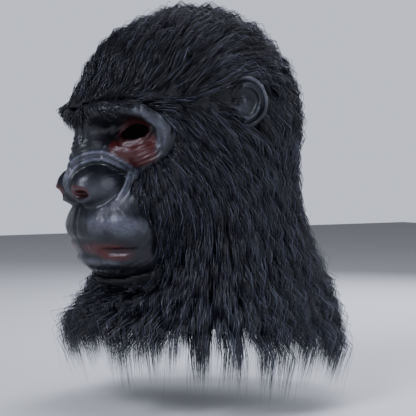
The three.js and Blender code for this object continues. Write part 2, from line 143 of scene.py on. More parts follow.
# Outline of the face: drop and half turn in degrees, then share of the half turn and drop.
SIDE_LINE = np.array([(95, 44), (113, 53), (135, 46), (149, 34), (165, 26), (188, 34),
                      (203, 40), (222, 43), (238, 41), (249, 36)], float)
TOP_LINE = np.array([(0, 94), (.34, 81), (.57, 79), (.82, 86), (1, 95)], float)
MOUTH_LINE = np.array([(0, 230.5), (.5, 230), (1, 228)], float)
BOTTOM_LINE = np.array([(0, 259), (.4, 257), (1, 249)], float)
DEPTH_BY_DROP = np.array([(-79, 1.05), (58, .88), (144, .86), (202, 1.1), (259, 1.3),
                          (307, 1.35), (422, 1.1)], float)
# Ear profile from the middle of the cup to the middle of the back: share out, share of depth.
EAR_PROFILE = np.array([(0, -.2), (.36, -.2), (.58, -.13), (.74, -.08), (.9, .34), (.99, .22),
                        (1, -.05), (.84, -.36), (.45, -.6), (0, -.64)], float)


def ramp(x, low, high):
    """0 below low and 1 above high, or the other way round where low is the larger."""
    t = np.clip((x - low) / (high - low), 0, 1)
    return t * t * (3 - 2 * t)


def lerp(a, b, t):
    """The value a share t of the way from a to b."""
    return a + (b - a) * t


def bell(x, width):
    """A smooth bump, 1 at zero and 0.37 at its width."""
    return np.exp(-(x / width) ** 2)


def curve(rows, x, column=1):
    """Smooth curve through a table's points, as in the CAD source."""
    x = np.asarray(x, float)
    xs, ys = rows[:, 0], rows[:, column]
    last = len(xs) - 1
    lower = np.maximum(np.arange(last + 1) - 1, 0)
    upper = np.minimum(np.arange(last + 1) + 1, last)
    slopes = (ys[upper] - ys[lower]) / (xs[upper] - xs[lower])
    i = np.clip(np.searchsorted(xs, x, side="left") - 1, 0, last - 1)
    h = xs[i + 1] - xs[i]
    t = np.clip((x - xs[i]) / h, 0, 1)
    u = 1 - t
    return (ys[i] * u * u * (1 + 2 * t) + ys[i + 1] * t * t * (1 + 2 * u)
            + h * t * u * (u * slopes[i] - t * slopes[i + 1]))


def join(a, b, k):
    """Two distances joined as one form, with a fillet of about k."""
    h = np.maximum(k - np.abs(a - b), 0) / k
    return np.minimum(a, b) - h * h * k / 4


def carve(a, b, k):
    """Form a with b cut out of it."""
    return -join(-a, b, k)


def mass(q, centre, half):
    """Distance from a rounded mass, below zero inside it."""
    t = (q - np.array(centre, float)) / np.array(half, float)
    near = np.sqrt((t * t).sum(-1))
    steep = np.sqrt(((t / np.array(half, float)) ** 2).sum(-1))
    return near * (near - 1) / np.maximum(steep, 1e-6)


def heap(d, q, masses):
    """Rounded masses joined to the distance d one after another."""
    for centre, half, blend in masses:
        d = join(d, mass(q, centre, half), blend)
    return d


def ridge(q, points):
    """Distance from a rounded ridge through points, each with its radius."""
    best = np.full(len(q), 1e9)
    for start, end in zip(points, points[1:]):
        a, b = np.array(start[:3], float), np.array(end[:3], float)
        along = b - a
        t = np.clip(((q - a) @ along) / (along @ along), 0, 1)
        away = np.linalg.norm(q - a - t[:, None] * along, axis=1)
        best = np.minimum(best, away - lerp(start[3], end[3], t))
    return best


def drape(q):
    """Distance outside the neck's sections."""
    half = curve(DRAPE, q[:, 2])
    reach_out = np.where(q[:, 1] > 0, curve(DRAPE, q[:, 2], 2), curve(DRAPE, q[:, 2], 3))
    near = np.hypot(q[:, 0] / half, q[:, 1] / reach_out)
    steep = np.hypot(q[:, 0] / half ** 2, q[:, 1] / reach_out ** 2)
    wall = near * (near - 1) / np.maximum(steep, 1e-6)
    return -join(-wall, q[:, 2] - DRAPE_TOP, 17.6)


def form(points, fine=False):
    """Distance outside the head at points (N, 3). The fine form has the face's own details."""
    q = points.copy()
    q[:, 0] = np.abs(q[:, 0])
    d = mass(q, *SKULL)
    d = heap(d, q, [FORE_SKULL])
    d = join(d, drape(q), 16)
    d = heap(d, q, JAWS)
    d = join(d, ridge(q, BROW), 12)
    d = heap(d, q, [BROW_SWELL])
    centre, half, blend = FINE_SOCKET if fine else SOCKET
    d = carve(d, mass(q, centre, half), blend)
    d = heap(d, q, [*BAG, FINE_BAG] if fine else BAG)
    d = join(d, ridge(q, BRIDGE), 10)
    if fine:
        centre, half, blend = INNER_SOCKET
        d = carve(d, mass(q, centre, half), blend)
        return lower_face(join(d, dome(q), 4), q)
    return lower_face(heap(d, q, NOSE), q)


def dome(q):
    """Distance outside the nose's tip and wing, as one smooth dome."""
    return join(mass(q, (0, 122, 161), (14, 25, 19)), wing(q), 10)


def wing(q):
    """Distance outside the nose's nearer wing."""
    return mass(q, (16, 117, 165.5), (19, 31, 22))


def lower_face(d, q):
    """Nostrils, lips and mouth, worked into the distance d."""
    d = carve(d, mass(q, NOSTRIL, NOSTRIL_HALF), 4)
    d = join(d, ridge(q, UPPER_LIP), 6)
    d = join(d, ridge(q, LOWER_LIP), 4)
    return carve(d, ridge(q, MOUTH), 2.5)


def rays(turn, drop):
    """Start and direction of the line at each turn in degrees and drop in mm."""
    tilt = np.maximum(0, (SPINE_TOP - drop) / FAN_RADIUS)
    turn = np.radians(turn)
    start = np.stack([np.zeros_like(turn), np.full_like(turn, SPINE_AHEAD),
                      np.maximum(drop, SPINE_TOP)], 1)
    way = np.stack([np.cos(tilt) * np.sin(turn), np.cos(tilt) * np.cos(turn), -np.sin(tilt)], 1)
    return start, way


def meet(start, way, level=0.0, fine=False):
    """Outermost point of each line at its level outside the head."""
    t = np.full(len(way), FAR)
    level = np.broadcast_to(np.asarray(level, float), t.shape)
    live = np.ones(len(t), bool)
    for _ in range(90):
        where = start[live] + way[live] * t[live, None]
        step = np.clip(0.8 * (form(where, fine) - level[live]), -3, 30)
        t[live] = np.maximum(t[live] - step, 0)
        keep = np.abs(step) > 2e-3
        index = np.flatnonzero(live)
        live[index[~keep]] = False
        if not live.any():
            break
    return start + way * t[:, None]


def reach(turn, drop, level=0.0):
    """Point level mm above the head at each turn and drop."""
    return meet(*rays(np.asarray(turn, float), np.asarray(drop, float)), level)


def slope(points, fine=False):
    """Outward normals of the head's form at points."""
    step = 0.4
    parts = []
    for axis in range(3):
        shift = np.zeros(3)
        shift[axis] = step
        parts.append(form(points + shift, fine) - form(points - shift, fine))
    out = np.stack(parts, 1)
    return out / np.maximum(np.linalg.norm(out, axis=1), 1e-9)[:, None]


def to_scene(points):
    """(side, ahead, down) in mm to the scene's metres."""
    return points * np.array([1, -1, -1]) * MM


def lattice(points, seed):
    """Smooth noise from -1 to 1 at points, one cell to a unit."""
    cell = np.floor(points).astype(np.int64)
    part = points - cell
    part = part * part * (3 - 2 * part)
    total = np.zeros(len(points))
    for corner in range(8):
        bits = np.array([corner & 1, corner >> 1 & 1, corner >> 2 & 1])
        c = cell + bits
        n = (c[:, 0] * 73856093 ^ c[:, 1] * 19349663 ^ c[:, 2] * 83492791 ^ seed * 2654435761)
        n = (n ^ (n >> 13)) * 1274126177
        value = ((n ^ (n >> 16)) & 65535) / 32767.5 - 1
        weight = np.prod(np.where(bits, part, 1 - part), axis=1)
        total += weight * value
    return total


def face_lines(row, column):
    """Turn and drop on the face: columns -1 to 1, rows 0 brow, 1 mouth, 2 chin."""
    u = np.abs(column)

    def line(share):
        top, mouth, bottom = (curve(rows, share) for rows in (TOP_LINE, MOUTH_LINE, BOTTOM_LINE))
        return np.where(row < 1, lerp(top, mouth, row), lerp(mouth, bottom, row - 1))

    return column * curve(SIDE_LINE, line(np.ones_like(u))), line(u)


def linear(code):
    """An sRGB hex colour as Blender's linear one."""
    parts = [int(code[i:i + 2], 16) / 255 for i in (1, 3, 5)]
    return [p / 12.92 if p <= 0.04045 else ((p + 0.055) / 1.055) ** 2.4 for p in parts] + [1.0]


def node(tree, kind, values=(), links=(), **settings):
    """Adds a node with its settings, socket values and links from other nodes' sockets."""
    made = tree.nodes.new(kind)
    for name, value in settings.items():
        setattr(made, name, value)
    for socket, value in dict(values).items():
        made.inputs[socket].default_value = value
    for socket, source in dict(links).items():
        tree.links.new(made.inputs[socket], source)
    return made


def new_material(name):
    """A material with an empty node tree, and the tree."""
    material = bpy.data.materials.new(name)
    material.use_nodes = True
    tree = material.node_tree
    tree.nodes.clear()
    return material, tree


def finish_material(tree, shader):
    """Joins the shader to the material's output."""
    node(tree, "ShaderNodeOutputMaterial", links={"Surface": shader.outputs[0]})


def painted_latex(settings):
    """Slush-moulded latex, airbrushed black: matt film with a slight rubber sheen, oxblood sprayed
    round the eyes and lips, and grey that is partly dry-brushed over what stands proud and partly
    painted highlight on the nose, the muzzle's top, the cheeks and the lower lip."""
    material, tree = new_material("painted_latex")
    place = node(tree, "ShaderNodeTexCoord")
    red = node(tree, "ShaderNodeAttribute", attribute_name="red")
    grey = node(tree, "ShaderNodeAttribute", attribute_name="grey")
    # Spray mottling of about 12 mm and brush drag of about 2 mm.
    mottle = node(tree, "ShaderNodeTexNoise", {"Scale": 80.0, "Detail": 4.0, "Roughness": 0.6},
                  {"Vector": place.outputs["Object"]})
    stretch = node(tree, "ShaderNodeMapping", {"Scale": (260.0, 260.0, 420.0)},
                   {"Vector": place.outputs["Object"]})
    drag = node(tree, "ShaderNodeTexNoise", {"Scale": 1.0, "Detail": 3.0, "Roughness": 0.65},
                {"Vector": stretch.outputs[0]})
    brush = node(tree, "ShaderNodeMapRange",
                 {"From Min": 0.34, "From Max": 0.66, "To Min": 0.5, "To Max": 1.0},
                 {"Value": drag.outputs["Fac"]})
    # Grey from the attribute, partly dry brushing and partly painted highlight, dragged by the
    # brush noise.
    dry_brush_and_highlight = node(tree, "ShaderNodeMath", links={0: grey.outputs["Fac"], 1: brush.outputs[0]},
               operation="MULTIPLY", use_clamp=True)
    patch = node(tree, "ShaderNodeMapRange",
                 {"From Min": 0.35, "From Max": 0.65, "To Min": 0.7, "To Max": 1.0},
                 {"Value": mottle.outputs["Fac"]})
    sprayed = node(tree, "ShaderNodeMath", links={0: red.outputs["Fac"], 1: patch.outputs[0]},
                   operation="MULTIPLY", use_clamp=True)
    base = node(tree, "ShaderNodeMix", {6: linear("#08090c"), 7: linear("#14161d")},
                {0: mottle.outputs["Fac"]}, data_type="RGBA")
    with_red = node(tree, "ShaderNodeMix", {7: settings["red"]},
                    {0: sprayed.outputs[0], 6: base.outputs[2]}, data_type="RGBA")
    with_grey = node(tree, "ShaderNodeMix", {7: settings["grey"]},
                     {0: dry_brush_and_highlight.outputs[0], 6: with_red.outputs[2]}, data_type="RGBA")
    # Pores of about 1.2 mm, drawn coarser than real ones so that they show.
    pores = node(tree, "ShaderNodeTexVoronoi", {"Scale": 620.0},
                 {"Vector": place.outputs["Object"]})
    grain = node(tree, "ShaderNodeTexNoise", {"Scale": 380.0, "Detail": 4.0},
                 {"Vector": place.outputs["Object"]})
    height = node(tree, "ShaderNodeMath", {1: 0.5},
                  {0: pores.outputs["Distance"], 2: grain.outputs["Fac"]}, operation="MULTIPLY_ADD")
    bump = node(tree, "ShaderNodeBump", {"Strength": 0.35, "Distance": 0.0005},
                {"Height": height.outputs[0]})
    gloss = node(tree, "ShaderNodeMapRange",
                 {"From Min": 0.3, "From Max": 0.7, "To Min": 0.33, "To Max": 0.46},
                 {"Value": mottle.outputs["Fac"]})
    shader = node(tree, "ShaderNodeBsdfPrincipled", {"IOR": 1.52, "Specular IOR Level": 0.42},
                  {"Base Color": with_grey.outputs[2], "Roughness": gloss.outputs[0],
                   "Normal": bump.outputs[0]})
    finish_material(tree, shader)
    return material


def pile_fibre(settings):
    """Modacrylic fur fibre, dyed black in the mass: smooth round filaments that glint grey along
    their length, and a share of strands painted paler as glints. Every strand has a tone of its
    own, and the roots are painted darker as shade."""
    material, tree = new_material("modacrylic_pile")
    tone = node(tree, "ShaderNodeAttribute", attribute_name="tone")
    colour = node(tree, "ShaderNodeMix", {6: settings["dark"], 7: settings["light"]},
                  {0: tone.outputs["Fac"]}, data_type="RGBA")
    shader = node(tree, "ShaderNodeBsdfPrincipled",
                  {"IOR": 1.53, "Roughness": settings["roughness"], "Specular IOR Level": 0.5},
                  {"Base Color": colour.outputs[2]})
    finish_material(tree, shader)
    return material


def pile_ground(settings):
    """Knitted ground of the fur with its short underfur: matt, near black, streaked along the
    nap. The streaks are about 1.5 mm wide, coarser than single fibres so that they show."""
    material, tree = new_material("modacrylic_underfur")
    layout = node(tree, "ShaderNodeAttribute", attribute_name="nap")
    stretch = node(tree, "ShaderNodeMapping", {"Scale": (650.0, 60.0, 1.0)},
                   {"Vector": layout.outputs["Vector"]})
    streak = node(tree, "ShaderNodeTexNoise", {"Scale": 1.0, "Detail": 4.0},
                  {"Vector": stretch.outputs[0]})
    colour = node(tree, "ShaderNodeMix", {6: linear("#050506"), 7: settings["dark"]},
                  {0: streak.outputs["Fac"]}, data_type="RGBA")
    bump = node(tree, "ShaderNodeBump", {"Strength": 0.8, "Distance": 0.0015},
                {"Height": streak.outputs["Fac"]})
    shader = node(tree, "ShaderNodeBsdfPrincipled", {"IOR": 1.53, "Roughness": 0.8},
                  {"Base Color": colour.outputs[2], "Normal": bump.outputs[0]})
    finish_material(tree, shader)
    return material


def knit_cloth():
    """Warp-knit polyester lining: matt black cloth with wales about 1.6 mm apart, twice the real
    spacing so that they show."""
    material, tree = new_material("warp_knit_lining")
    layout = node(tree, "ShaderNodeAttribute", attribute_name="nap")
    wales = node(tree, "ShaderNodeTexWave", {"Scale": 200.0, "Distortion": 1.5, "Detail": 2.0},
                 {"Vector": layout.outputs["Vector"]}, wave_type="BANDS")
    colour = node(tree, "ShaderNodeMix", {6: linear("#0c0c0e"), 7: linear("#1d1d20")},
                  {0: wales.outputs["Fac"]}, data_type="RGBA")
    bump = node(tree, "ShaderNodeBump", {"Strength": 0.5, "Distance": 0.0006},
                {"Height": wales.outputs["Fac"]})
    shader = node(tree, "ShaderNodeBsdfPrincipled",
                  {"IOR": 1.5, "Roughness": 0.9, "Sheen Weight": 0.2, "Sheen Roughness": 0.5},
                  {"Base Color": colour.outputs[2], "Normal": bump.outputs[0]})
    finish_material(tree, shader)
    return material


def material_named(name, maker, *settings):
    """The named material, made on its first use."""
    return bpy.data.materials.get(name) or maker(*settings)


def coordinates(bm):
    """A bmesh's corners as rows of numbers."""
    return np.array([v.co for v in bm.verts])


def move(bm, points):
    """Sets a bmesh's corners to points."""
    for vert, point in zip(bm.verts, points):
        vert.co = point


def give_wall(bm, inner):
    """Extrudes the whole sheet, moves each new vertex to its twin's inner point, unpainted."""
    twin = bm.verts.layers.int.new("twin")
    for i, vert in enumerate(bm.verts):
        vert[twin] = i
    wall = bmesh.ops.extrude_face_region(bm, geom=list(bm.faces))
    paints = bm.verts.layers.float.values()
    for vert in wall["geom"]:
        if isinstance(vert, bmesh.types.BMVert):
            vert.co = inner[vert[twin]]
            for paint in paints:
                vert[paint] = 0
    bm.verts.layers.int.remove(twin)


def finish_piece(bm, name, material, nodes, values=None):
    """Writes a bmesh as a smooth object that replaces its CAD nodes."""
    mesh = bpy.data.meshes.new(name)
    bm.to_mesh(mesh)
    bm.free()
    return finish_mesh(mesh, name, material, nodes, values)


def finish_mesh(mesh, name, material, nodes, values=None):
    """Makes a mesh an object with its values as attributes, and gives it its slot and nodes."""
    for key, numbers in (values or {}).items():
        kind = "FLOAT_VECTOR" if numbers.ndim == 2 else "FLOAT"
        layer = mesh.attributes.new(key, kind, "POINT")
        layer.data.foreach_set("vector" if numbers.ndim == 2 else "value",
                               np.ascontiguousarray(numbers, np.float32).ravel())
    mesh.shade_smooth()
    mesh.materials.append(material)
    piece = bpy.data.objects.new(name, mesh)
    bpy.context.collection.objects.link(piece)
    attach(piece, "root")
    if nodes:
        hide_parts(*nodes)
    return piece


def eye_frame(points):
    """Each point's place across and up from the nearer eye's centre, in the eye's own slant."""
    side = np.abs(points[:, 0]) - EYE_CENTRE[0]
    back = -(points[:, 1] - EYE_CENTRE[1])
    across = side * math.cos(EYE_TURN) + back * math.sin(EYE_TURN)
    up = -(points[:, 2] - EYE_CENTRE[2])
    u = across * math.cos(EYE_SLANT) + up * math.sin(EYE_SLANT)
    w = -across * math.sin(EYE_SLANT) + up * math.cos(EYE_SLANT)
    return u, w


def almond(u, w):
    """Rough distance outside the eye opening's edge."""
    edge = EYE_TALL * (1 - np.minimum(u / EYE_HALF, 1) ** 2)
    steep = np.hypot(1, 2 * EYE_TALL * u / EYE_HALF ** 2)
    beyond = np.hypot(np.abs(u) - EYE_HALF, w)
    return np.where(np.abs(u) < EYE_HALF, (np.abs(w) - edge) / steep, beyond)


def face_relief(q, edge):
    """Height of the moulded details over the fine form, with where they are red, and where they
    are grey from dry brushing and from painted highlights.
    """
    side, ahead, down = np.abs(q[:, 0]), q[:, 1], q[:, 2]
    u, w = eye_frame(q)
    front = ramp(ahead, 20, 50)
    place = np.stack([side, ahead, down], 1)
    from_nose = wing(place)
    d = almond(u, w)
    near_eye = ramp(d, -4, 0) * ramp(d, 40, 20)
    wobble = lattice(q / 9.0, 3)
    fine = lattice(q / 3.2, 4)

    # Lids: a rolled rim, the crease over the upper lid, and the brow fold that hangs over it.
    upper = ramp(w, -1, 3)
    lower = 1 - upper
    height = (0.5 + 0.6 * lower) * bell(d - 1.8, 1.5) * near_eye
    height -= 1.1 * bell(d - 4.6, 1.3) * near_eye
    height += upper * 0.5 * bell(d - 7.4, 1.8) * near_eye

    # Pouch under the eye: arcs that follow the lower lid, about 4.2 mm apart.
    spread = np.hypot(u / 1.35, np.minimum(w, 0))
    pouch = ramp(-w, 3, 8) * ramp(spread, 38, 33) * ramp(side, 9, 13)
    pouch = pouch * ramp(np.abs(u + 1), 27, 21) * front * ramp(from_nose, 12, 15.5)
    arcs = np.cos(2 * math.pi * (spread + 0.9 * wobble) / 4.2)
    height += pouch * (0.75 * arcs - 0.2)
    moat = bell(spread - 39, 2.0) * ramp(-w, 8, 16) * ramp(side, 13, 18)
    height -= 1.6 * moat * front

    # Double ridge that arches over the nose's dome and runs down beside it, behind a deep crease.
    over = ramp(down, 182, 168) * ramp(ahead, 74, 92)
    crease = ramp(down, 192, 180) * ramp(ahead, 74, 92)
    height -= crease * 1.9 * bell(from_nose - 1.6, 1.4)
    height += over * (1.7 * bell(from_nose - 5.2, 1.9) + 1.3 * bell(from_nose - 12.4, 2.1))
    height -= over * 1.1 * (bell(from_nose - 8.8, 1.6) + bell(from_nose - 15.8, 1.6))

    # Frown creases between the brows, and creases across the bridge.
    frown = bell(side - 7 - (down - 108) * 0.12, 1.9) * ramp(down, 90, 98)
    height -= 2.4 * frown * ramp(down, 126, 116) * ramp(ahead, 80, 95)
    bridge = bell(side, 12) * ramp(down, 112, 118) * ramp(down, 138, 130)
    height += 0.6 * bridge * np.cos(2 * math.pi * (down + side * 0.25) / 5.4)

    # Nose: a soft groove down its middle, and a rim round each nostril.
    nose = bell(side, 3.0) * ramp(down, 140, 152) * ramp(down, 188, 178)
    height -= 2.2 * nose * ramp(ahead, 110, 125)
    hole = mass(place, NOSTRIL, NOSTRIL_HALF)
    height += 0.9 * bell(hole - 3.0, 1.6) * ramp(ahead, 110, 120)

    # Philtrum, and the fold from the nose's wing to the mouth's corner.
    height -= 1.4 * bell(side, 3.0) * ramp(down, 182, 190) * ramp(down, 220, 212)
    fold_at = 41 + (down - 178) * 0.26
    fold = ramp(down, 166, 178) * ramp(down, 232, 216)
    height += fold * (0.7 * bell(side - fold_at, 5.5) - 0.6 * bell(side - fold_at + 9, 4.0))
    shelf = ramp(side, 12, 28) * ramp(side, 68, 54) * front
    height += shelf * (1.8 * bell(down - 203, 10) - 0.8 * bell(down - 187, 8))
    height += 0.2 * fine * ramp(down, 178, 190) * ramp(down, 222, 214) * front

    # Lips: upright grooves. Chin: combed tufts that run down.
    lips = ramp(down, 218, 224) * ramp(down, 245, 240) * front
    height += 0.22 * lips * fine
    height -= 0.8 * bell(down - 248, 3.2) * ramp(side, 50, 36) * front
    slit = ridge(place, MOUTH)
    height -= 2.2 * bell(slit, 1.8) * front * ramp(side, 56, 40)
    height += 1.3 * bell(down - 238 - 0.04 * side, 3.6) * ramp(side, 46, 30) * front
    height -= 1.2 * bell(down - 218 - side * 0.05, 2.2) * ramp(side, 46, 30) * front
    comb = lattice(np.stack([q[:, 0] / 2.2, ahead / 2.2, down / 11.0], 1), 7)
    chin = ramp(down, 246, 250)
    height += chin * 0.45 * comb

    # Brow: short strokes combed up and out along its top edge.
    strokes = lattice(np.stack([(q[:, 0] + 0.35 * down * np.sign(q[:, 0])) / 2.4, ahead / 3.0,
                                down / 10.0], 1), 8)
    brow = ramp(edge, 16, 5) * front * ramp(down, 140, 120)
    height += brow * 1.3 * strokes
    along = np.arctan2(w, u) * 26
    ring = ramp(d, 7, 12) * ramp(d, 34, 24) * ramp(u + 0.8 * w, -14, 4) * front
    combed = lattice(np.stack([(spread + 0.3 * along) / 1.9, along / 10.0, 0 * u], 1), 9)
    height += 0.5 * ring * combed * (1 - pouch)
    height += 0.28 * wobble * (1 - pouch) + 0.14 * fine

    # Paint. Oxblood on the lids, the pouch, inside the nostrils and on the lips.
    lids = bell(np.maximum(d, 0), 4.2) * near_eye * ramp(np.abs(u), 24, 18)
    red = np.maximum(0.95 * pouch * ramp(spread, 39, 33), 0.9 * lids)
    flesh = mass(np.stack([side, ahead, down + 2.5], 1), NOSTRIL, NOSTRIL_HALF)
    red = np.maximum(red, ramp(flesh, 3.6, 1.0) * ramp(ahead, 128, 134))
    painted = ramp(slit, 9.0, 4.0) * ramp(side, 54, 40) * front
    red = np.maximum(red, painted * ramp(slit, -1.0, 1.5))
    raised = ramp(height, 0.2, 1.7)
    red = red * (1 - 0.35 * raised)

    # Grey, partly dry brushing and partly painted highlight: the ring round the eye and the ridges
    # are dry-brushed and made paler still as painted highlight; the strip beside the nose, the
    # cheek, the muzzle's top, the nose's side and the lower lip carry painted highlights; none at
    # the edge where the fur starts.
    # The ring round the eye: dry-brushed grey, made paler still as painted highlight.
    eye_ring = ramp(d, 9, 14) * ramp(d, 30, 20) * (1 - pouch) * upper
    outer_ring = ramp(u, 20, 27) * ramp(d, 5, 9) * ramp(d, 26, 16)
    under_ring = ramp(spread, 36, 39) * ramp(spread, 52, 46)
    under_ring = under_ring * lower * ramp(u, 0, 8)
    outer_ring = np.maximum(outer_ring, 0.8 * under_ring)
    grey = np.maximum(eye_ring * ramp(u, -16, 10), outer_ring)
    grey *= 0.8 + 0.55 * combed
    # Painted highlight on the strip beside the nose.
    strip_highlight = ramp(from_nose, 2.0, 4.5) * ramp(from_nose, 19, 11)
    strip_highlight = strip_highlight * np.maximum(over, ramp(side, 26, 34) * ramp(down, 206, 190))
    grey = np.maximum(grey, 0.85 * strip_highlight)
    # Painted highlight on the cheek beside the nose's wing.
    cheek_highlight = ramp(down, 166, 176) * ramp(down, 208, 198) * bell(side - 44, 9)
    grey = np.maximum(grey, 0.55 * cheek_highlight * front)
    # Painted highlight along the muzzle's top, where the light falls.
    muzzle_highlight = bell(down - 199 - (side - 30) * 0.2, 11) * ramp(side, 8, 22)
    grey = np.maximum(grey, 0.32 * muzzle_highlight * front)
    # Painted highlight on the side of the nose's dome.
    nose_highlight = bell(np.hypot(side - 28, down - 170), 11) * ramp(ahead, 104, 114)
    grey = np.maximum(grey, 0.7 * nose_highlight)
    # Painted highlight along the lower lip.
    lip_highlight = bell(down - 241, 3.4) * ramp(side, 50, 30) * front
    grey = np.maximum(grey, 0.4 * lip_highlight)
    # Raised parts take more grey, as dry brushing and as painted highlight.
    grey = np.clip(grey * (0.45 + 0.7 * raised) + 0.2 * raised, 0, 1)
    grey *= front * (1 - 0.7 * red) * (1 - 0.8 * frown) * ramp(edge, 1, 9)
    return height, np.clip(red, 0, 1), grey


def build_face(settings):
    """Painted face on the CAD face's own lines, with its open eyes and its moulded skin."""
    columns, rows = settings["columns"], settings["rows"]
    bm = bmesh.new()
    bmesh.ops.create_grid(bm, x_segments=columns, y_segments=rows, size=1)
    flat = coordinates(bm)
    column, row = flat[:, 0], 1 - flat[:, 1]

    def edge_depth(r, c):
        start, way = rays(*face_lines(r, c))
        found = meet(start, way)
        return np.linalg.norm(found - start, axis=1)

    samples = np.linspace(0, 2, 61)
    side_depth = np.interp(row, samples, edge_depth(samples, np.ones_like(samples)))
    ends = np.linspace(-1, 1, 81)
    top = np.interp(column, ends, edge_depth(np.zeros_like(ends), ends))
    bottom = np.interp(column, ends, edge_depth(np.full_like(ends, 2), ends))
    corners = edge_depth(np.array([0.0, 2.0]), np.ones(2))
    depth = lerp(top, bottom, row / 2) + side_depth - lerp(corners[0], corners[1], row / 2)
    start, way = rays(*face_lines(row, column))
    target = start + way * depth[:, None]
    border = bm.verts.layers.float.new("border")
    room = np.minimum(row * FACE_TALL[0], (2 - row) * FACE_TALL[1])
    room = np.minimum((1 - np.abs(column)) * FACE_HALF, room)
    for vert, value in zip(bm.verts, room):
        vert[border] = value

    def from_apex(points):
        # The apex rises with points above the cheeks, so its lines reach in under the brows.
        start = np.zeros_like(points)
        start[:, 2] = FACE_APEX - APEX_RISE * np.maximum(APEX_RISE_FROM - points[:, 2], 0)
        way = points - start
        way /= np.linalg.norm(way, axis=1)[:, None]
        return meet(start, way, fine=True)

    skin = from_apex(target)

    # Eye openings: faces inside go, and the edge left behind is drawn onto the almond.
    u, w = eye_frame(skin)
    ahead = skin[:, 1] > 40
    inside = (almond(u, w) < 0) & (np.abs(u) < EYE_HALF) & ahead
    move(bm, skin)
    bm.verts.ensure_lookup_table()
    bm.verts.index_update()
    doomed = [f for f in bm.faces if all(inside[v.index] for v in f.verts)]
    bmesh.ops.delete(bm, geom=doomed, context="FACES")
    bm.verts.index_update()
    rim = [v for v in bm.verts
           if v.is_boundary and v.co.y > 40 and abs(v.co.x) > 8 and 90 < v.co.z < 140]
    points = np.array([v.co for v in rim])
    u, w = eye_frame(points)
    near = almond(u, w) < 6
    rim = [v for v, ok in zip(rim, near) if ok]
    points, u, w = points[near], u[near], w[near]
    new_u = np.clip(u, -EYE_HALF * 0.985, EYE_HALF * 0.985)
    new_w = np.where(w >= 0, 1, -1) * EYE_TALL * (1 - (new_u / EYE_HALF) ** 2)
    du, dw = new_u - u, new_w - w
    across = du * math.cos(EYE_SLANT) - dw * math.sin(EYE_SLANT)
    up = du * math.sin(EYE_SLANT) + dw * math.cos(EYE_SLANT)
    shift = np.stack([np.sign(points[:, 0]) * across * math.cos(EYE_TURN),
                      -across * math.sin(EYE_TURN), -up], 1)
    for vert, point in zip(rim, from_apex(points + shift)):
        vert.co = point

    skin = coordinates(bm)
    out = slope(skin, True)
    room = np.array([v[border] for v in bm.verts])
    bm.verts.layers.float.remove(border)
    relief, red, grey = face_relief(skin, room)
    edge = np.array([v.is_boundary and v.co.y > 0 for v in bm.verts])
    u, w = eye_frame(skin)
    eased = np.where(edge & (almond(u, w) > 6), 0.3, 1.0)
    shaped = skin + out * (relief * eased)[:, None]
    inner = skin - out * FACE_WALL
    move(bm, shaped)
    for name, values in (("red", red), ("grey", grey)):
        layer = bm.verts.layers.float.new(name)
        for vert, value in zip(bm.verts, values):
            vert[layer] = value
    give_wall(bm, inner)
    return bm


class MaskFace(bpy.types.PropertyGroup):
    columns: bpy.props.IntProperty(
        name="Columns", description="Faces across the latex face", default=184, min=40)
    rows: bpy.props.IntProperty(
        name="Rows", description="Faces down the latex face", default=164, min=40)
    red: bpy.props.FloatVectorProperty(
        name="Red", description="Oxblood sprayed round the eyes and lips", subtype="COLOR",
        size=4, default=linear("#43100f"))
    # Grey of the dry brushing, also used for the painted highlights on the face and ears.
    grey: bpy.props.FloatVectorProperty(
        name="Grey", description="Grey dry-brushed over raised parts", subtype="COLOR",
        size=4, default=linear("#686b78"))


class MaskFur(bpy.types.PropertyGroup):
    strands: bpy.props.IntProperty(
        name="Strands", description="Strands on the crown or the back", default=17500, min=100)
    width: bpy.props.FloatProperty(
        name="Strand width", description="Width of a strand near its root, in millimetres",
        default=0.6, min=0.2)
    dark: bpy.props.FloatVectorProperty(
        name="Dark", description="Darkest fibre", subtype="COLOR", size=4,
        default=linear("#030308"))
    # The palest fibre colour, which the strands painted as glints lean towards.
    light: bpy.props.FloatVectorProperty(
        name="Light", description="Palest fibre", subtype="COLOR", size=4,
        default=linear("#7c8199"))
    roughness: bpy.props.FloatProperty(
        name="Roughness", description="Roughness of a fibre", default=0.27, min=0, max=1)


class MaskStage(bpy.types.PropertyGroup):
    azimuth: bpy.props.FloatProperty(
        name="Azimuth", description="Camera's turn from straight ahead", subtype="ANGLE",
        default=math.radians(56))
    elevation: bpy.props.FloatProperty(
        name="Elevation", description="Camera's height as an angle", subtype="ANGLE",
        default=math.radians(2))
    pixel: bpy.props.FloatProperty(
        name="Pixel", description="Size of one picture pixel at the mask", unit="LENGTH",
        default=0.00105)
    lens: bpy.props.FloatProperty(
        name="Lens", description="Focal length in millimetres", default=120)


def read(group):
    """A property group's values as a plain dictionary."""
    made = {}
    for key in group.__annotations__:
        value = getattr(group, key)
        made[key] = list(value) if hasattr(value, "__len__") else value
    return made


class MASK_OT_face(bpy.types.Operator):
    """Build the painted latex face"""
    bl_idname = "mask.face"
    bl_label = "Latex face"

    def execute(self, context):
        settings = read(context.scene.mask_face)
        bm = build_face(settings)
        move(bm, to_scene(coordinates(bm)))
        bmesh.ops.recalc_face_normals(bm, faces=list(bm.faces))
        material = material_named("painted_latex", painted_latex, settings)
        finish_piece(bm, "latex_face", material, ["face"])
        return {"FINISHED"}


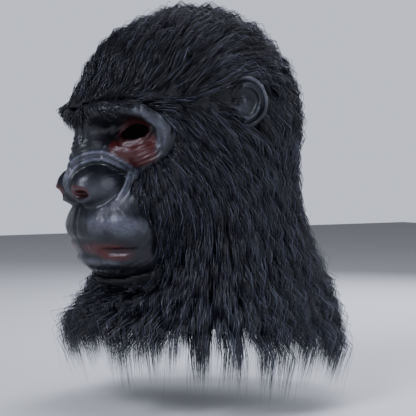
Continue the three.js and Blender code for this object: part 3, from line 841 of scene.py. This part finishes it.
def spun_ear():
    """A dished shell spun from the ear's profile, in shares of its radius and depth."""
    bm = bmesh.new()
    share = np.linspace(0, 1, 46)
    lengths = np.concatenate([[0], np.cumsum(np.hypot(*np.diff(EAR_PROFILE, axis=0).T))])
    place = share * lengths[-1]
    table = np.column_stack([lengths, EAR_PROFILE])
    out, lift = curve(table, place, 1), curve(table, place, 2)
    out = np.clip(out, 0, None)
    out[[0, -1]] = 0
    verts = [bm.verts.new((o, 0, h)) for o, h in zip(out, lift)]
    edges = [bm.edges.new(pair) for pair in zip(verts, verts[1:])]
    bmesh.ops.spin(bm, geom=verts + edges, cent=(0, 0, 0), axis=(0, 0, 1), dvec=(0, 0, 0),
                   angle=math.tau, steps=88, use_merge=True, use_duplicate=False)
    bmesh.ops.remove_doubles(bm, verts=list(bm.verts), dist=1e-5)
    return bm


def build_ear(side, settings):
    """One ear: the spun shell, pressed into an ape's ear and set at the side of the head."""
    bm = spun_ear()
    up, back, lift = coordinates(bm).T
    radius = np.hypot(up, back)
    front_face = ramp(lift, -0.3, -0.1) * ramp(radius, 1.0, 0.93)
    rim = bell(radius - 0.93, 0.1)
    # The rim rolls over the top and back and fades down the front; inside it a second fold curves
    # round the cup, with a flap at the front and a lobe below.
    angle = np.arctan2(back, up)
    round_top = ramp(np.cos(angle - 0.7), -0.75, 0.2)
    lift = lift + rim * (0.2 * round_top - 0.2) * (lift > -0.2)
    fold_at = 0.56 + 0.12 * np.cos(angle - 0.9)
    inner_fold = bell(radius - fold_at, 0.1) * ramp(np.cos(angle - 0.9), -0.1, 0.6)
    lift = lift + front_face * 0.26 * inner_fold
    lift = lift - front_face * 0.3 * bell(np.hypot(up + 0.15, back + 0.12), 0.3)
    lift = lift + front_face * 0.62 * bell(np.hypot(up + 0.1, back + 0.06), 0.36)
    bowl = bell(np.hypot(up + 0.1, back - 0.1) - 0.5, 0.07) * ramp(-up, 0, 0.3)
    lift = lift + front_face * 0.34 * bowl
    lift = lift + 0.34 * bell(np.hypot(up + 0.15, back + 0.74), 0.24) * ramp(lift, -0.2, 0.0)
    lift = lift + 0.15 * bell(np.hypot(up + 0.82, back), 0.25) * ramp(lift, -0.2, 0.0)
    up = up * (1 + 0.04 * np.cos(2 * np.arctan2(back, up)))
    narrow = 1 - 0.12 * ramp(-up, 0.35, 1.0)
    back = back * narrow
    wobble = lattice(np.stack([up * 3, back * 3, lift * 2], 1), 21)
    lift = lift + 0.035 * wobble
    out_way = np.array([math.cos(EAR_TURN), math.sin(EAR_TURN), 0])
    back_way = np.array([math.sin(EAR_TURN), -math.cos(EAR_TURN), 0])
    up_way = np.array([0, 0, -1])
    points = (EAR_SEAT + out_way * (lift * EAR_DEPTH)[:, None]
              + back_way * (back * EAR_HALF[1])[:, None] + up_way * (up * EAR_HALF[0])[:, None])
    points[:, 0] *= side
    # Grey on the ear is painted highlight and sheen: on the upper back of the rim, along the inner
    # fold, on the knob in the cup and on the bowl below it.
    cup_sheen = bell(np.hypot(up + 0.2, back + 0.12), 0.26)
    lit_upper_back = ramp(np.cos(angle - 0.8), 0.45, 0.95)
    grey = 0.5 * rim * lit_upper_back + 0.12 * inner_fold + front_face * (0.6 * cup_sheen + 0.5 * bowl)
    grey = np.clip(grey, 0, 1)
    red = np.zeros(len(points))
    move(bm, to_scene(points))
    bmesh.ops.recalc_face_normals(bm, faces=list(bm.faces))
    name = "left" if side > 0 else "right"
    material = material_named("painted_latex", painted_latex, settings)
    finish_piece(bm, f"latex_ear_{name}", material, [f"ear_{name}"],
                 {"red": red, "grey": grey})


class MASK_OT_ears(bpy.types.Operator):
    """Build the two latex ears"""
    bl_idname = "mask.ears"
    bl_label = "Latex ears"

    def execute(self, context):
        settings = read(context.scene.mask_face)
        for side in (1, -1):
            build_ear(side, settings)
        return {"FINISHED"}


def in_face(turn, drop):
    """Face column and row of each turn and drop, by a few rounds of closing in."""
    row = np.ones_like(turn)
    for _ in range(25):
        u = np.minimum(np.abs(turn) / face_lines(row, np.ones_like(turn))[0], 1.3)
        top, mouth, bottom = (curve(rows, np.minimum(u, 1.0))
                              for rows in (TOP_LINE, MOUTH_LINE, BOTTOM_LINE))
        new = np.where(drop < mouth, (drop - top) / (mouth - top),
                       1 + (drop - mouth) / (bottom - mouth))
        row = lerp(row, np.clip(new, -0.2, 2.2), 0.6)
    return u * np.sign(turn), new


def over_face(turn, drop, wide, top, bottom):
    """Whether each turn and drop lies over the face, in its columns up to wide and between its
    rows top and bottom. The top has one row for the face's middle and one for its temples."""
    column, row = in_face(turn, drop)
    high = lerp(*top, ramp(np.abs(column), 0.45, 0.75))
    return (np.abs(column) < wide) & (row > high) & (row < bottom) & (np.abs(turn) < FACE_TURN)


class MASK_OT_hood(bpy.types.Operator):
    """Build the knitted cloth hood under the fur"""
    bl_idname = "mask.hood"
    bl_label = "Cloth hood"

    def execute(self, context):
        bm = bmesh.new()
        bmesh.ops.create_grid(bm, x_segments=84, y_segments=64, size=1)
        flat = coordinates(bm)
        turn = flat[:, 0] * 180
        drop = lerp(POLE_DROP, HOOD_HEM, (1 - flat[:, 1]) / 2)
        inside = over_face(turn, drop, 1.02, (-0.02, -0.02), 2.03)
        points = reach(turn, drop, 0.0)
        shrink = -slope(points)
        folds = 0.5 * lattice(points / 26.0, 31)
        move(bm, points + shrink * (0.5 - folds)[:, None])
        bm.verts.index_update()
        doomed = [f for f in bm.faces if any(inside[v.index] for v in f.verts)]
        bmesh.ops.delete(bm, geom=doomed, context="FACES")
        bmesh.ops.remove_doubles(bm, verts=list(bm.verts), dist=0.02)
        move(bm, to_scene(coordinates(bm)))
        bmesh.ops.recalc_face_normals(bm, faces=list(bm.faces))
        bmesh.ops.solidify(bm, geom=list(bm.faces), thickness=HOOD_WALL * MM)
        p = coordinates(bm) / MM
        nap = np.stack([np.arctan2(p[:, 0], -p[:, 1]) * 95 * MM, p[:, 2] * MM, 0 * p[:, 0]], 1)
        material = material_named("warp_knit_lining", knit_cloth)
        hood = finish_piece(bm, "cloth_hood", material, ["hood"], {"nap": nap})
        return {"FINISHED"}


def fur_depth(points, drop, turn, edge):
    """The pile's depth at points, thinner by the face's edge, and how far off the edge they are."""
    away = np.full(len(points), 1e9)
    for p in edge:
        gap = np.hypot(np.abs(points[:, 0]) - abs(p[0]), points[:, 1] - p[1])
        away = np.minimum(away, np.hypot(gap, points[:, 2] - p[2]))
    beard = ramp(drop / HEAD_HEIGHT, 1.3, 1.5) * np.maximum(0, np.cos(np.radians(turn))) ** 2
    share = curve(DEPTH_BY_DROP, drop) * (1 + 0.35 * beard)
    return FUR_DEPTH * share * lerp(0.4, 1, ramp(away, 0, 42.4)), away


def face_edge():
    """Points along the face's edge on the nearer side."""
    rows = np.linspace(0, 2, 30)
    columns = np.linspace(0, 1, 14)
    turn, drop = face_lines(np.concatenate([rows, 0 * columns, 0 * columns + 2]),
                            np.concatenate([0 * rows + 1, columns, columns]))
    return reach(turn, drop)


def crown_spot(across, share):
    """Turn and drop on the crown panel: across -1 to 1 from the wearer's left, share 0 to 1."""
    slant = CROWN_HALF * across
    front = lerp(-5, CROWN_FRONT, ramp(np.abs(np.degrees(slant)), 34, 42))
    a = np.radians(lerp(front, CROWN_BACK, share))
    turn = np.degrees(np.arctan2(np.sin(-slant), np.cos(slant) * np.cos(a)))
    up = np.arcsin(np.cos(slant) * np.sin(a))
    return turn, SPINE_TOP - up * FAN_RADIUS


def crown_edge(turn):
    """Drop of the crown panel's edge at each turn."""
    s, c = np.abs(np.sin(np.radians(turn))), np.cos(np.radians(turn))
    half = math.sin(CROWN_HALF)
    side = np.arccos(np.clip(half / np.maximum(s, half), 0, 1))
    end = np.where(c > 0, np.arctan(c * math.tan(math.radians(CROWN_FRONT))),
                   np.arctan(-c * math.tan(math.radians(180 - CROWN_BACK))))
    return SPINE_TOP - FAN_RADIUS * np.maximum(side, end) + 0.36


def flow(points):
    """The way the pile lies: back over the crown, swept back at the temples, down below."""
    side, ahead, down = points[:, 0], points[:, 1] - SPINE_AHEAD, points[:, 2]
    angle = np.arctan2(SPINE_TOP - down, ahead)
    over = np.stack([0 * side, -np.sin(angle), -np.cos(angle)], 1)
    sweep = ramp(down, 210, 110) * ramp(ahead, -70, 10)
    fall = np.stack([0 * side, -0.75 * sweep, np.ones_like(side)], 1)
    flare = ramp(down, 250, 320)
    fall[:, 0] -= 0.04 * np.sign(side) * flare
    fall /= np.linalg.norm(fall, axis=1)[:, None]
    share = ramp(down, 52, 104)
    share = np.where(ahead < 0, ramp(down, 30, 110), share)
    way = lerp(over, fall, share[:, None])
    return way / np.maximum(np.linalg.norm(way, axis=1), 1e-6)[:, None]


def tangent(way, out):
    """Way laid along the surface whose normal is out, at length 1."""
    way = way - out * (way * out).sum(1)[:, None]
    return way / np.maximum(np.linalg.norm(way, axis=1), 1e-6)[:, None]


# Shares of a strand: where its rings lie along it, how wide they and its tip are, how much of its
# tone each keeps (the root darker, as painted shade), and how high off the coat the second ring and
# the tip stand.
STRAND_RINGS = (0.0, 0.5)
STRAND_TAPER = np.array([1.0, 0.85, 0.0])
STRAND_SHADE = np.array([0.3, 0.85, 1.0])
STRAND_HEIGHTS = (1.0, 0.35)
# Shares of strands that stray from their lock and that run long, how far strands wander in mm, how
# much lighter a strand painted as a glint is, and what is left of one that is cut short.
STRAY_SHARE = 0.12
STRAY_REACH = 4.0
LOCK_REACH = 1.8
WISP_SHARE = 0.03
PAINTED_GLINT_TONE = 0.42
CUT_SHARE = 0.45


def strand_form():
    """One strand, two rings of three corners and a tip: each corner's ring and turn, and faces."""
    bm = bmesh.new()
    made = bmesh.ops.create_cone(bm, cap_ends=True, segments=3, radius1=1, radius2=0, depth=1)
    sides = [e for e in bm.edges if abs(e.verts[0].co.z - e.verts[1].co.z) > 0.5]
    bmesh.ops.translate(bm, verts=made["verts"], vec=(0, 0, 0.5))
    bmesh.ops.subdivide_edges(bm, edges=sides, cuts=1)
    bmesh.ops.triangulate(bm, faces=list(bm.faces))
    bm.verts.ensure_lookup_table()
    heights = sorted({round(v.co.z, 4) for v in bm.verts})
    ring = np.array([heights.index(round(v.co.z, 4)) for v in bm.verts])
    angle = np.array([math.atan2(v.co.y, v.co.x) for v in bm.verts])
    faces = np.array([[v.index for v in f.verts] for f in bm.faces])
    bm.free()
    return ring, angle, faces


def grow(name, turn, drop, lock, guides, settings, rng, pile):
    """Strands of one panel, each a tapered form bent along its lock's guide."""
    roots = guides["root"][lock]
    start, way = rays(turn, drop)
    own = meet(start, way, 0.0)
    offset = own - roots
    count = len(turn)
    scale = rng.uniform(0.7, 1.08, count) * np.where(rng.random(count) < WISP_SHARE, pile.wisp, 1)
    lift = rng.uniform(0.75, 1.15, count)
    stray = rng.random(count) < STRAY_SHARE
    clump = np.where(stray, 0.0, rng.uniform(0.15, 0.65, count))
    ring, angle, faces = strand_form()
    nodes = []
    wild = rng.normal(0, 1, (count, 3)) * np.where(stray, STRAY_REACH, LOCK_REACH)[:, None]
    for i, t in enumerate([*STRAND_RINGS, 1.0]):
        line = guides["line"][i][lock]
        base = guides["root"][lock] + (line - guides["root"][lock]) * scale[:, None]
        out = guides["out"][lock]
        rise = guides["rise"][i][lock]
        base = base + out * (rise * (lift - 1))[:, None]
        spread = offset * (1 - clump * t ** 0.8)[:, None]
        nodes.append(base + spread + wild * t)
    nodes = np.stack(nodes, 1)
    nodes[..., 0] = np.clip(nodes[..., 0], -REACH_SIDE, REACH_SIDE)
    nodes[..., 1] = np.clip(nodes[..., 1], -REACH_BACK, None)
    # A strand that would cross the face or an ear is cut short there.
    short = lerp(nodes[:, :1], nodes, CUT_SHARE)
    nodes = np.where(clear_of_ear_and_face(nodes)[:, None, None], nodes, short)
    good = clear_of_ear_and_face(nodes)
    nodes, lock = nodes[good], lock[good]
    count = len(nodes)
    widths = settings["width"] * rng.uniform(0.7, 1.15, count) / 2
    ways = np.gradient(nodes, axis=1)
    ways /= np.maximum(np.linalg.norm(ways, axis=2), 1e-6)[:, :, None]
    out = guides["out"][lock][:, None, :]
    flat = np.cross(ways, out)
    flat /= np.maximum(np.linalg.norm(flat, axis=2), 1e-6)[:, :, None]
    over = np.cross(flat, ways)
    size = widths[:, None] * STRAND_TAPER[None, :]
    phase = rng.uniform(0, math.tau, count)
    c = np.cos(angle[None, :] + phase[:, None])[:, :, None]
    s = np.sin(angle[None, :] + phase[:, None])[:, :, None]
    points = nodes[:, ring] + (flat[:, ring] * c + over[:, ring] * s) * size[:, ring][:, :, None]
    points = to_scene(points.reshape(-1, 3))
    per = len(ring)
    index = (faces[None] + (np.arange(count) * per)[:, None, None]).reshape(-1, 3)
    # A share of strands is painted paler as glints, and each strand's root end is painted darker as
    # shade.
    painted_glint = rng.random(count) < pile.glint
    tone = guides["tone"][lock] + rng.normal(0, 0.03, count) + np.where(painted_glint, PAINTED_GLINT_TONE, 0)
    tone = np.clip(tone, 0, 1)
    tones = (tone[:, None] * STRAND_SHADE[ring][None, :]).ravel()
    mesh = bpy.data.meshes.new(name)
    mesh.vertices.add(len(points))
    mesh.vertices.foreach_set("co", points.astype(np.float32).ravel())
    mesh.loops.add(index.size)
    mesh.loops.foreach_set("vertex_index", index.astype(np.int32).ravel())
    mesh.polygons.add(len(index))
    mesh.polygons.foreach_set("loop_start", np.arange(0, index.size, 3, dtype=np.int32))
    mesh.update(calc_edges=True)
    mesh.validate()
    return mesh, tones


def lock_guides(turn, drop, pile, rng, edge):
    """A bent guide for each lock: where its rings lie, how high, and its tone."""
    root = reach(turn, drop, 0.0)
    depth, away = fur_depth(root, drop, turn, edge)
    depth = depth * rng.uniform(0.85, 1.2, len(turn))
    near = lerp(0.55, 1, ramp(away, 0, 36))
    brow = ramp(drop, 112, 92) * ramp(np.abs(turn), 60, 40)
    depth = depth * lerp(1, 1.15, brow * ramp(away, 34, 8))
    out = slope(root)
    uneven = lerp(0.2, 0.42, ramp(drop, 250, 290))
    length = pile.length * near * (1.05 + uneven * rng.uniform(-1, 1, len(turn)))
    point = root + out * (0.25 * depth)[:, None]
    line, rise = [point], [0.25 * depth]
    shares = np.diff([*STRAND_RINGS, 1.0])
    side_wave = rng.normal(0, 0.07, len(turn))
    # Locks at the front below the chin are painted darker, as shade under the jaw.
    beard = lerp(1, 0.15, ramp(root[:, 1], 30, 70) * ramp(drop, 225, 250))
    for share, high in zip(shares, STRAND_HEIGHTS):
        here = slope(point)
        way = tangent(flow(point), here)
        across = np.cross(here, way)
        way = way + across * side_wave[:, None]
        moved = point + way * (length * share)[:, None]
        at = form(moved)
        normal = slope(moved)
        point = moved + normal * (depth * high - at)[:, None]
        line.append(point)
        rise.append(depth * high)
    return {"root": root, "out": out, "line": line, "rise": rise,
            "tone": pile.tone * rng.uniform(0.2, 1.8, len(turn)) * beard}


def nearest_lock(points, roots):
    """Index of the closest lock root to each point."""
    found = np.empty(len(points), int)
    for i in range(0, len(points), 2000):
        gaps = ((points[i:i + 2000, None, :] - roots[None]) ** 2).sum(2)
        found[i:i + 2000] = gaps.argmin(1)
    return found


def outside_ear(points, grow_by=1.0):
    """Whether points keep grow_by mm clear of an ear."""
    p = points.copy()
    p[..., 0] = np.abs(p[..., 0])
    r = p - EAR_SEAT
    out = r[..., 0] * math.cos(EAR_TURN) + r[..., 1] * math.sin(EAR_TURN)
    back = r[..., 0] * math.sin(EAR_TURN) - r[..., 1] * math.cos(EAR_TURN)
    up = -r[..., 2]
    shape = (back / (EAR_HALF[1] + grow_by)) ** 2 + (up / (EAR_HALF[0] + grow_by)) ** 2
    over_front = (out > 3) & (back < -4)
    return (shape > 1) | (out < -9) | over_front


def clear_of_ear_and_face(nodes):
    """Whether all of a strand keeps off the ears and face."""
    clear = outside_ear(nodes).all(axis=1)
    mid = nodes[:, 1:].reshape(-1, 3)
    turn = np.degrees(np.arctan2(mid[:, 0], mid[:, 1] - SPINE_AHEAD))
    tilt = np.arctan2(SPINE_TOP - mid[:, 2], np.hypot(mid[:, 0], mid[:, 1] - SPINE_AHEAD))
    drop = np.where(mid[:, 2] > SPINE_TOP, mid[:, 2], SPINE_TOP - tilt * FAN_RADIUS)
    over = over_face(turn, drop, 0.92, (0.15, 0.05), 1.9)
    return clear & ~over.reshape(len(nodes), -1).any(axis=1)


def panel_spots(panel, rng, count):
    """Turn and drop of count spots spread evenly over a panel."""
    found_turn, found_drop = [], []
    total = 0
    while total < count:
        a, b = rng.uniform(-1, 1, count), rng.uniform(0, 1, count)
        turn, drop = PANELS[panel](a, b)
        # Rows bunch up where a panel narrows, so spots are thinned by the room that they have.
        t2, d2 = PANELS[panel](a + 0.01, b)
        t3, d3 = PANELS[panel](a, b + 0.01)
        p, q, r = reach(turn, drop), reach(t2, d2), reach(t3, d3)
        room = np.linalg.norm(np.cross(q - p, r - p), axis=1)
        keep = rng.random(count) < room / np.quantile(room, 0.97)
        keep &= ~over_face(turn, drop, 0.96, (0.09, 0.012), 1.94)
        found_turn.append(turn[keep])
        found_drop.append(drop[keep])
        total += keep.sum()
    return np.concatenate(found_turn)[:count], np.concatenate(found_drop)[:count]


def side_spot(low, high):
    """A panel down from the crown to the seam, between two turns."""
    def spot(across, share):
        turn = lerp(low, high, (across + 1) / 2)
        return turn, lerp(crown_edge(turn), SEAM_DROP, share)
    return spot


def skirt_spot(across, share):
    """Turn and drop on the skirt, from the seam to its roots."""
    return across * 180, lerp(SEAM_DROP, SKIRT_ROOTS, share)


PANELS = {
    "crown": crown_spot,
    "cheek_left": side_spot(25.0, 90.0),
    "cheek_right": side_spot(-90.0, -25.0),
    "back": side_spot(90.0, 270.0),
    "skirt": skirt_spot,
}
# Each panel's pile: how many locks, their length in mm and tone, its share of the strands, how much
# longer a wisp is, the share of strands painted paler as glints, and the faces across and down
# its underfur.
Pile = namedtuple("Pile", "locks length tone strands wisp glint wide tall")
PILE = {
    "crown": Pile(620, 58, 0.01, 1.05, 1.15, 0.06, 48, 80),
    "cheek_left": Pile(230, 64, 0.035, 0.55, 1.2, 0.14, 26, 54),
    "cheek_right": Pile(230, 64, 0.035, 0.55, 1.2, 0.14, 26, 54),
    "back": Pile(520, 64, 0.05, 1.0, 1.15, 0.14, 60, 54),
    "skirt": Pile(420, 54, 0.08, 1.1, 1.25, 0.14, 110, 26),
}


def build_underfur(panel):
    """Short dense underfur of a panel, as a streaked shell that the long strands grow through."""
    bm = bmesh.new()
    pile = PILE[panel]
    bmesh.ops.create_grid(bm, x_segments=pile.wide, y_segments=pile.tall, size=1)
    flat = coordinates(bm)
    share = (1 - flat[:, 1]) / 2
    turn, drop = PANELS[panel](flat[:, 0], share)
    edge = face_edge()
    skin = reach(turn, drop)
    depth, _ = fur_depth(skin, drop, turn, edge)
    streak = lattice(np.stack([turn / 2.2, drop / 26.0, 0 * turn], 1), 41)
    level = np.maximum(depth * (0.34 + 0.07 * streak), 1.0)
    border = (np.abs(flat[:, 0]) > 0.999) | (share < 1e-4) | (share > 0.9999)
    level = np.where(border, np.minimum(level, 2.0), level)
    outer = reach(turn, drop, level)
    inner = reach(turn, drop, GAP)
    inside = over_face(turn, drop, 1.0, (0, 0), 2.0)
    hidden = ~outside_ear(outer, -3.0)
    move(bm, outer)
    bm.verts.index_update()
    doomed = [f for f in bm.faces if any(inside[v.index] for v in f.verts)
              or all(hidden[v.index] for v in f.verts)]
    under = bm.verts.layers.float_vector.new("under")
    for vert, point in zip(bm.verts, inner):
        vert[under] = point
    bmesh.ops.delete(bm, geom=doomed, context="FACES")
    give_wall(bm, [vert[under].copy() for vert in bm.verts])
    bm.verts.layers.float_vector.remove(under)
    if panel == "skirt":
        bmesh.ops.remove_doubles(bm, verts=list(bm.verts), dist=0.01)
    points = coordinates(bm)
    nap = np.stack([np.arctan2(points[:, 0], points[:, 1]) * 0.1,
                    points[:, 2] * MM, 0 * points[:, 0]], 1)
    if panel == "crown":
        nap[:, 0] = points[:, 0] * MM
        nap[:, 1] = np.arctan2(SPINE_TOP - points[:, 2], points[:, 1]) * 0.1
    move(bm, to_scene(points))
    bmesh.ops.recalc_face_normals(bm, faces=list(bm.faces))
    return bm, nap


def dress_panel(panel, seed, settings):
    """One panel's underfur and its pile."""
    rng = np.random.default_rng(seed)
    edge = face_edge()
    bm, nap = build_underfur(panel)
    ground = material_named("modacrylic_underfur", pile_ground, settings)
    fibre = material_named("modacrylic_pile", pile_fibre, settings)
    node_name = f"fur_{panel}"
    finish_piece(bm, f"underfur_{panel}", ground, [node_name], {"nap": nap})
    pile = PILE[panel]
    lock_turn, lock_drop = panel_spots(panel, rng, pile.locks)
    guides = lock_guides(lock_turn, lock_drop, pile, rng, edge)
    turn, drop = panel_spots(panel, rng, int(settings["strands"] * pile.strands))
    own = reach(turn, drop)
    lock = nearest_lock(own, guides["root"])
    mesh, tones = grow(f"pile_{panel}", turn, drop, lock, guides, settings, rng, pile)
    finish_mesh(mesh, f"pile_{panel}", fibre, [node_name], {"tone": tones})


class MASK_OT_fur(bpy.types.Operator):
    """Grow the fur of one panel: its underfur and its long pile"""
    bl_idname = "mask.fur"
    bl_label = "Fur panel"

    panel: bpy.props.EnumProperty(
        name="Panel", description="Which panel of fur to grow",
        items=[(key, key.replace("_", " "), "") for key in PANELS])

    def execute(self, context):
        settings = read(context.scene.mask_fur)
        dress_panel(self.panel, 11 + list(PANELS).index(self.panel), settings)
        return {"FINISHED"}


def area_light(name, where, target, size, power):
    """A soft lamp at a place, turned to its target."""
    data = bpy.data.lights.new(name, "AREA")
    data.size = size
    data.energy = power
    data.color = linear("#e8ecff")[:3]
    lamp = bpy.data.objects.new(name, data)
    lamp.location = where
    lamp.rotation_euler = (Vector(target) - Vector(where)).to_track_quat("-Z", "Y").to_euler()
    bpy.context.collection.objects.link(lamp)


class MASK_OT_stage(bpy.types.Operator):
    """Set up the camera, the pale floor and the soft lights"""
    bl_idname = "mask.stage"
    bl_label = "Studio stage"

    def execute(self, context):
        settings = read(context.scene.mask_stage)
        a, e = settings["azimuth"], settings["elevation"]
        pixel = settings["pixel"]
        right = Vector((math.cos(a), math.sin(a), 0))
        back = Vector((math.sin(a) * math.cos(e), -math.cos(a) * math.cos(e), math.sin(e)))
        middle = PHOTO_PIXELS / 2
        target = right * ((middle - PHOTO_AXIS) * pixel)
        target.z = FUR_TOP - (middle - PHOTO_TOP) * pixel
        data = bpy.data.cameras.new("camera")
        data.lens = settings["lens"]
        data.sensor_width = 36
        distance = PHOTO_PIXELS * pixel * data.lens / data.sensor_width
        camera = bpy.data.objects.new("camera", data)
        camera.location = target + back * distance
        camera.rotation_euler = back.to_track_quat("Z", "Y").to_euler()
        context.collection.objects.link(camera)
        context.scene.camera = camera

        bm = bmesh.new()
        bmesh.ops.create_grid(bm, x_segments=1, y_segments=1, size=3)
        bmesh.ops.translate(bm, verts=list(bm.verts), vec=(0, 0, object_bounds()[0].z - 0.002))
        mesh = bpy.data.meshes.new("studio_floor")
        bm.to_mesh(mesh)
        bm.free()
        floor = bpy.data.objects.new("studio_floor", mesh)
        context.collection.objects.link(floor)
        material, tree = new_material("matt_floor_paint")
        shader = node(tree, "ShaderNodeBsdfPrincipled",
                      {"Base Color": linear("#e3e3e1"), "Roughness": 0.8})
        finish_material(tree, shader)
        mesh.materials.append(material)
        floor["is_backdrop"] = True

        # Dim air with a bright band at the horizon, so black latex stays black before a pale wall.
        world = bpy.data.worlds.new("studio_air")
        world.use_nodes = True
        air = world.node_tree
        back_light = air.nodes["Background"]
        back_light.inputs[0].default_value = linear("#e4e9f7")
        way = node(air, "ShaderNodeTexCoord")
        parts = node(air, "ShaderNodeSeparateXYZ", links={0: way.outputs["Generated"]})
        steep = node(air, "ShaderNodeMath", links={0: parts.outputs[2]}, operation="ABSOLUTE")
        band = node(air, "ShaderNodeMapRange",
                    {"From Min": 0.13, "From Max": 0.3, "To Min": 0.95, "To Max": 0.15},
                    {"Value": steep.outputs[0]}, interpolation_type="SMOOTHSTEP")
        air.links.new(back_light.inputs[1], band.outputs[0])
        context.scene.world = world
        middle_of_head = (0, 0, -0.16)
        area_light("key_light", right * -0.9 + back * 1.3 + Vector((0, 0, 0.9)), middle_of_head,
                   0.7, 30)
        area_light("fill_light", right * 1.3 + back * 0.7 + Vector((0, 0, 0.2)), middle_of_head,
                   0.9, 12)
        area_light("top_light", Vector((0, 0.2, 1.2)), middle_of_head, 0.8, 11)
        area_light("rim_light", back * -1.2 + right * 0.5 + Vector((0, 0, 0.5)), middle_of_head,
                   0.8, 14)
        return {"FINISHED"}


class MASK_PT_panel(bpy.types.Panel):
    """Lists the makers of the mask's pieces"""
    bl_label = "Gorilla mask"
    bl_space_type = "VIEW_3D"
    bl_region_type = "UI"
    bl_category = "Gorilla mask"

    def draw(self, context):
        for operator in (MASK_OT_face, MASK_OT_ears, MASK_OT_hood, MASK_OT_stage):
            self.layout.operator(operator.bl_idname)
        for panel in PANELS:
            self.layout.operator(MASK_OT_fur.bl_idname).panel = panel


GROUPS = {"mask_face": MaskFace, "mask_fur": MaskFur, "mask_stage": MaskStage}
CLASSES = (MaskFace, MaskFur, MaskStage, MASK_OT_face, MASK_OT_ears, MASK_OT_hood, MASK_OT_fur,
           MASK_OT_stage, MASK_PT_panel)


def register():
    for cls in CLASSES:
        bpy.utils.register_class(cls)
    for name, group in GROUPS.items():
        setattr(bpy.types.Scene, name, bpy.props.PointerProperty(type=group))


def unregister():
    for name in GROUPS:
        delattr(bpy.types.Scene, name)
    for cls in reversed(CLASSES):
        bpy.utils.unregister_class(cls)


def main():
    register()
    bpy.ops.mask.face()
    bpy.ops.mask.ears()
    bpy.ops.mask.hood()
    for panel in PANELS:
        bpy.ops.mask.fur(panel=panel)
    bpy.ops.mask.stage()


if __name__ == "__main__":
    main()
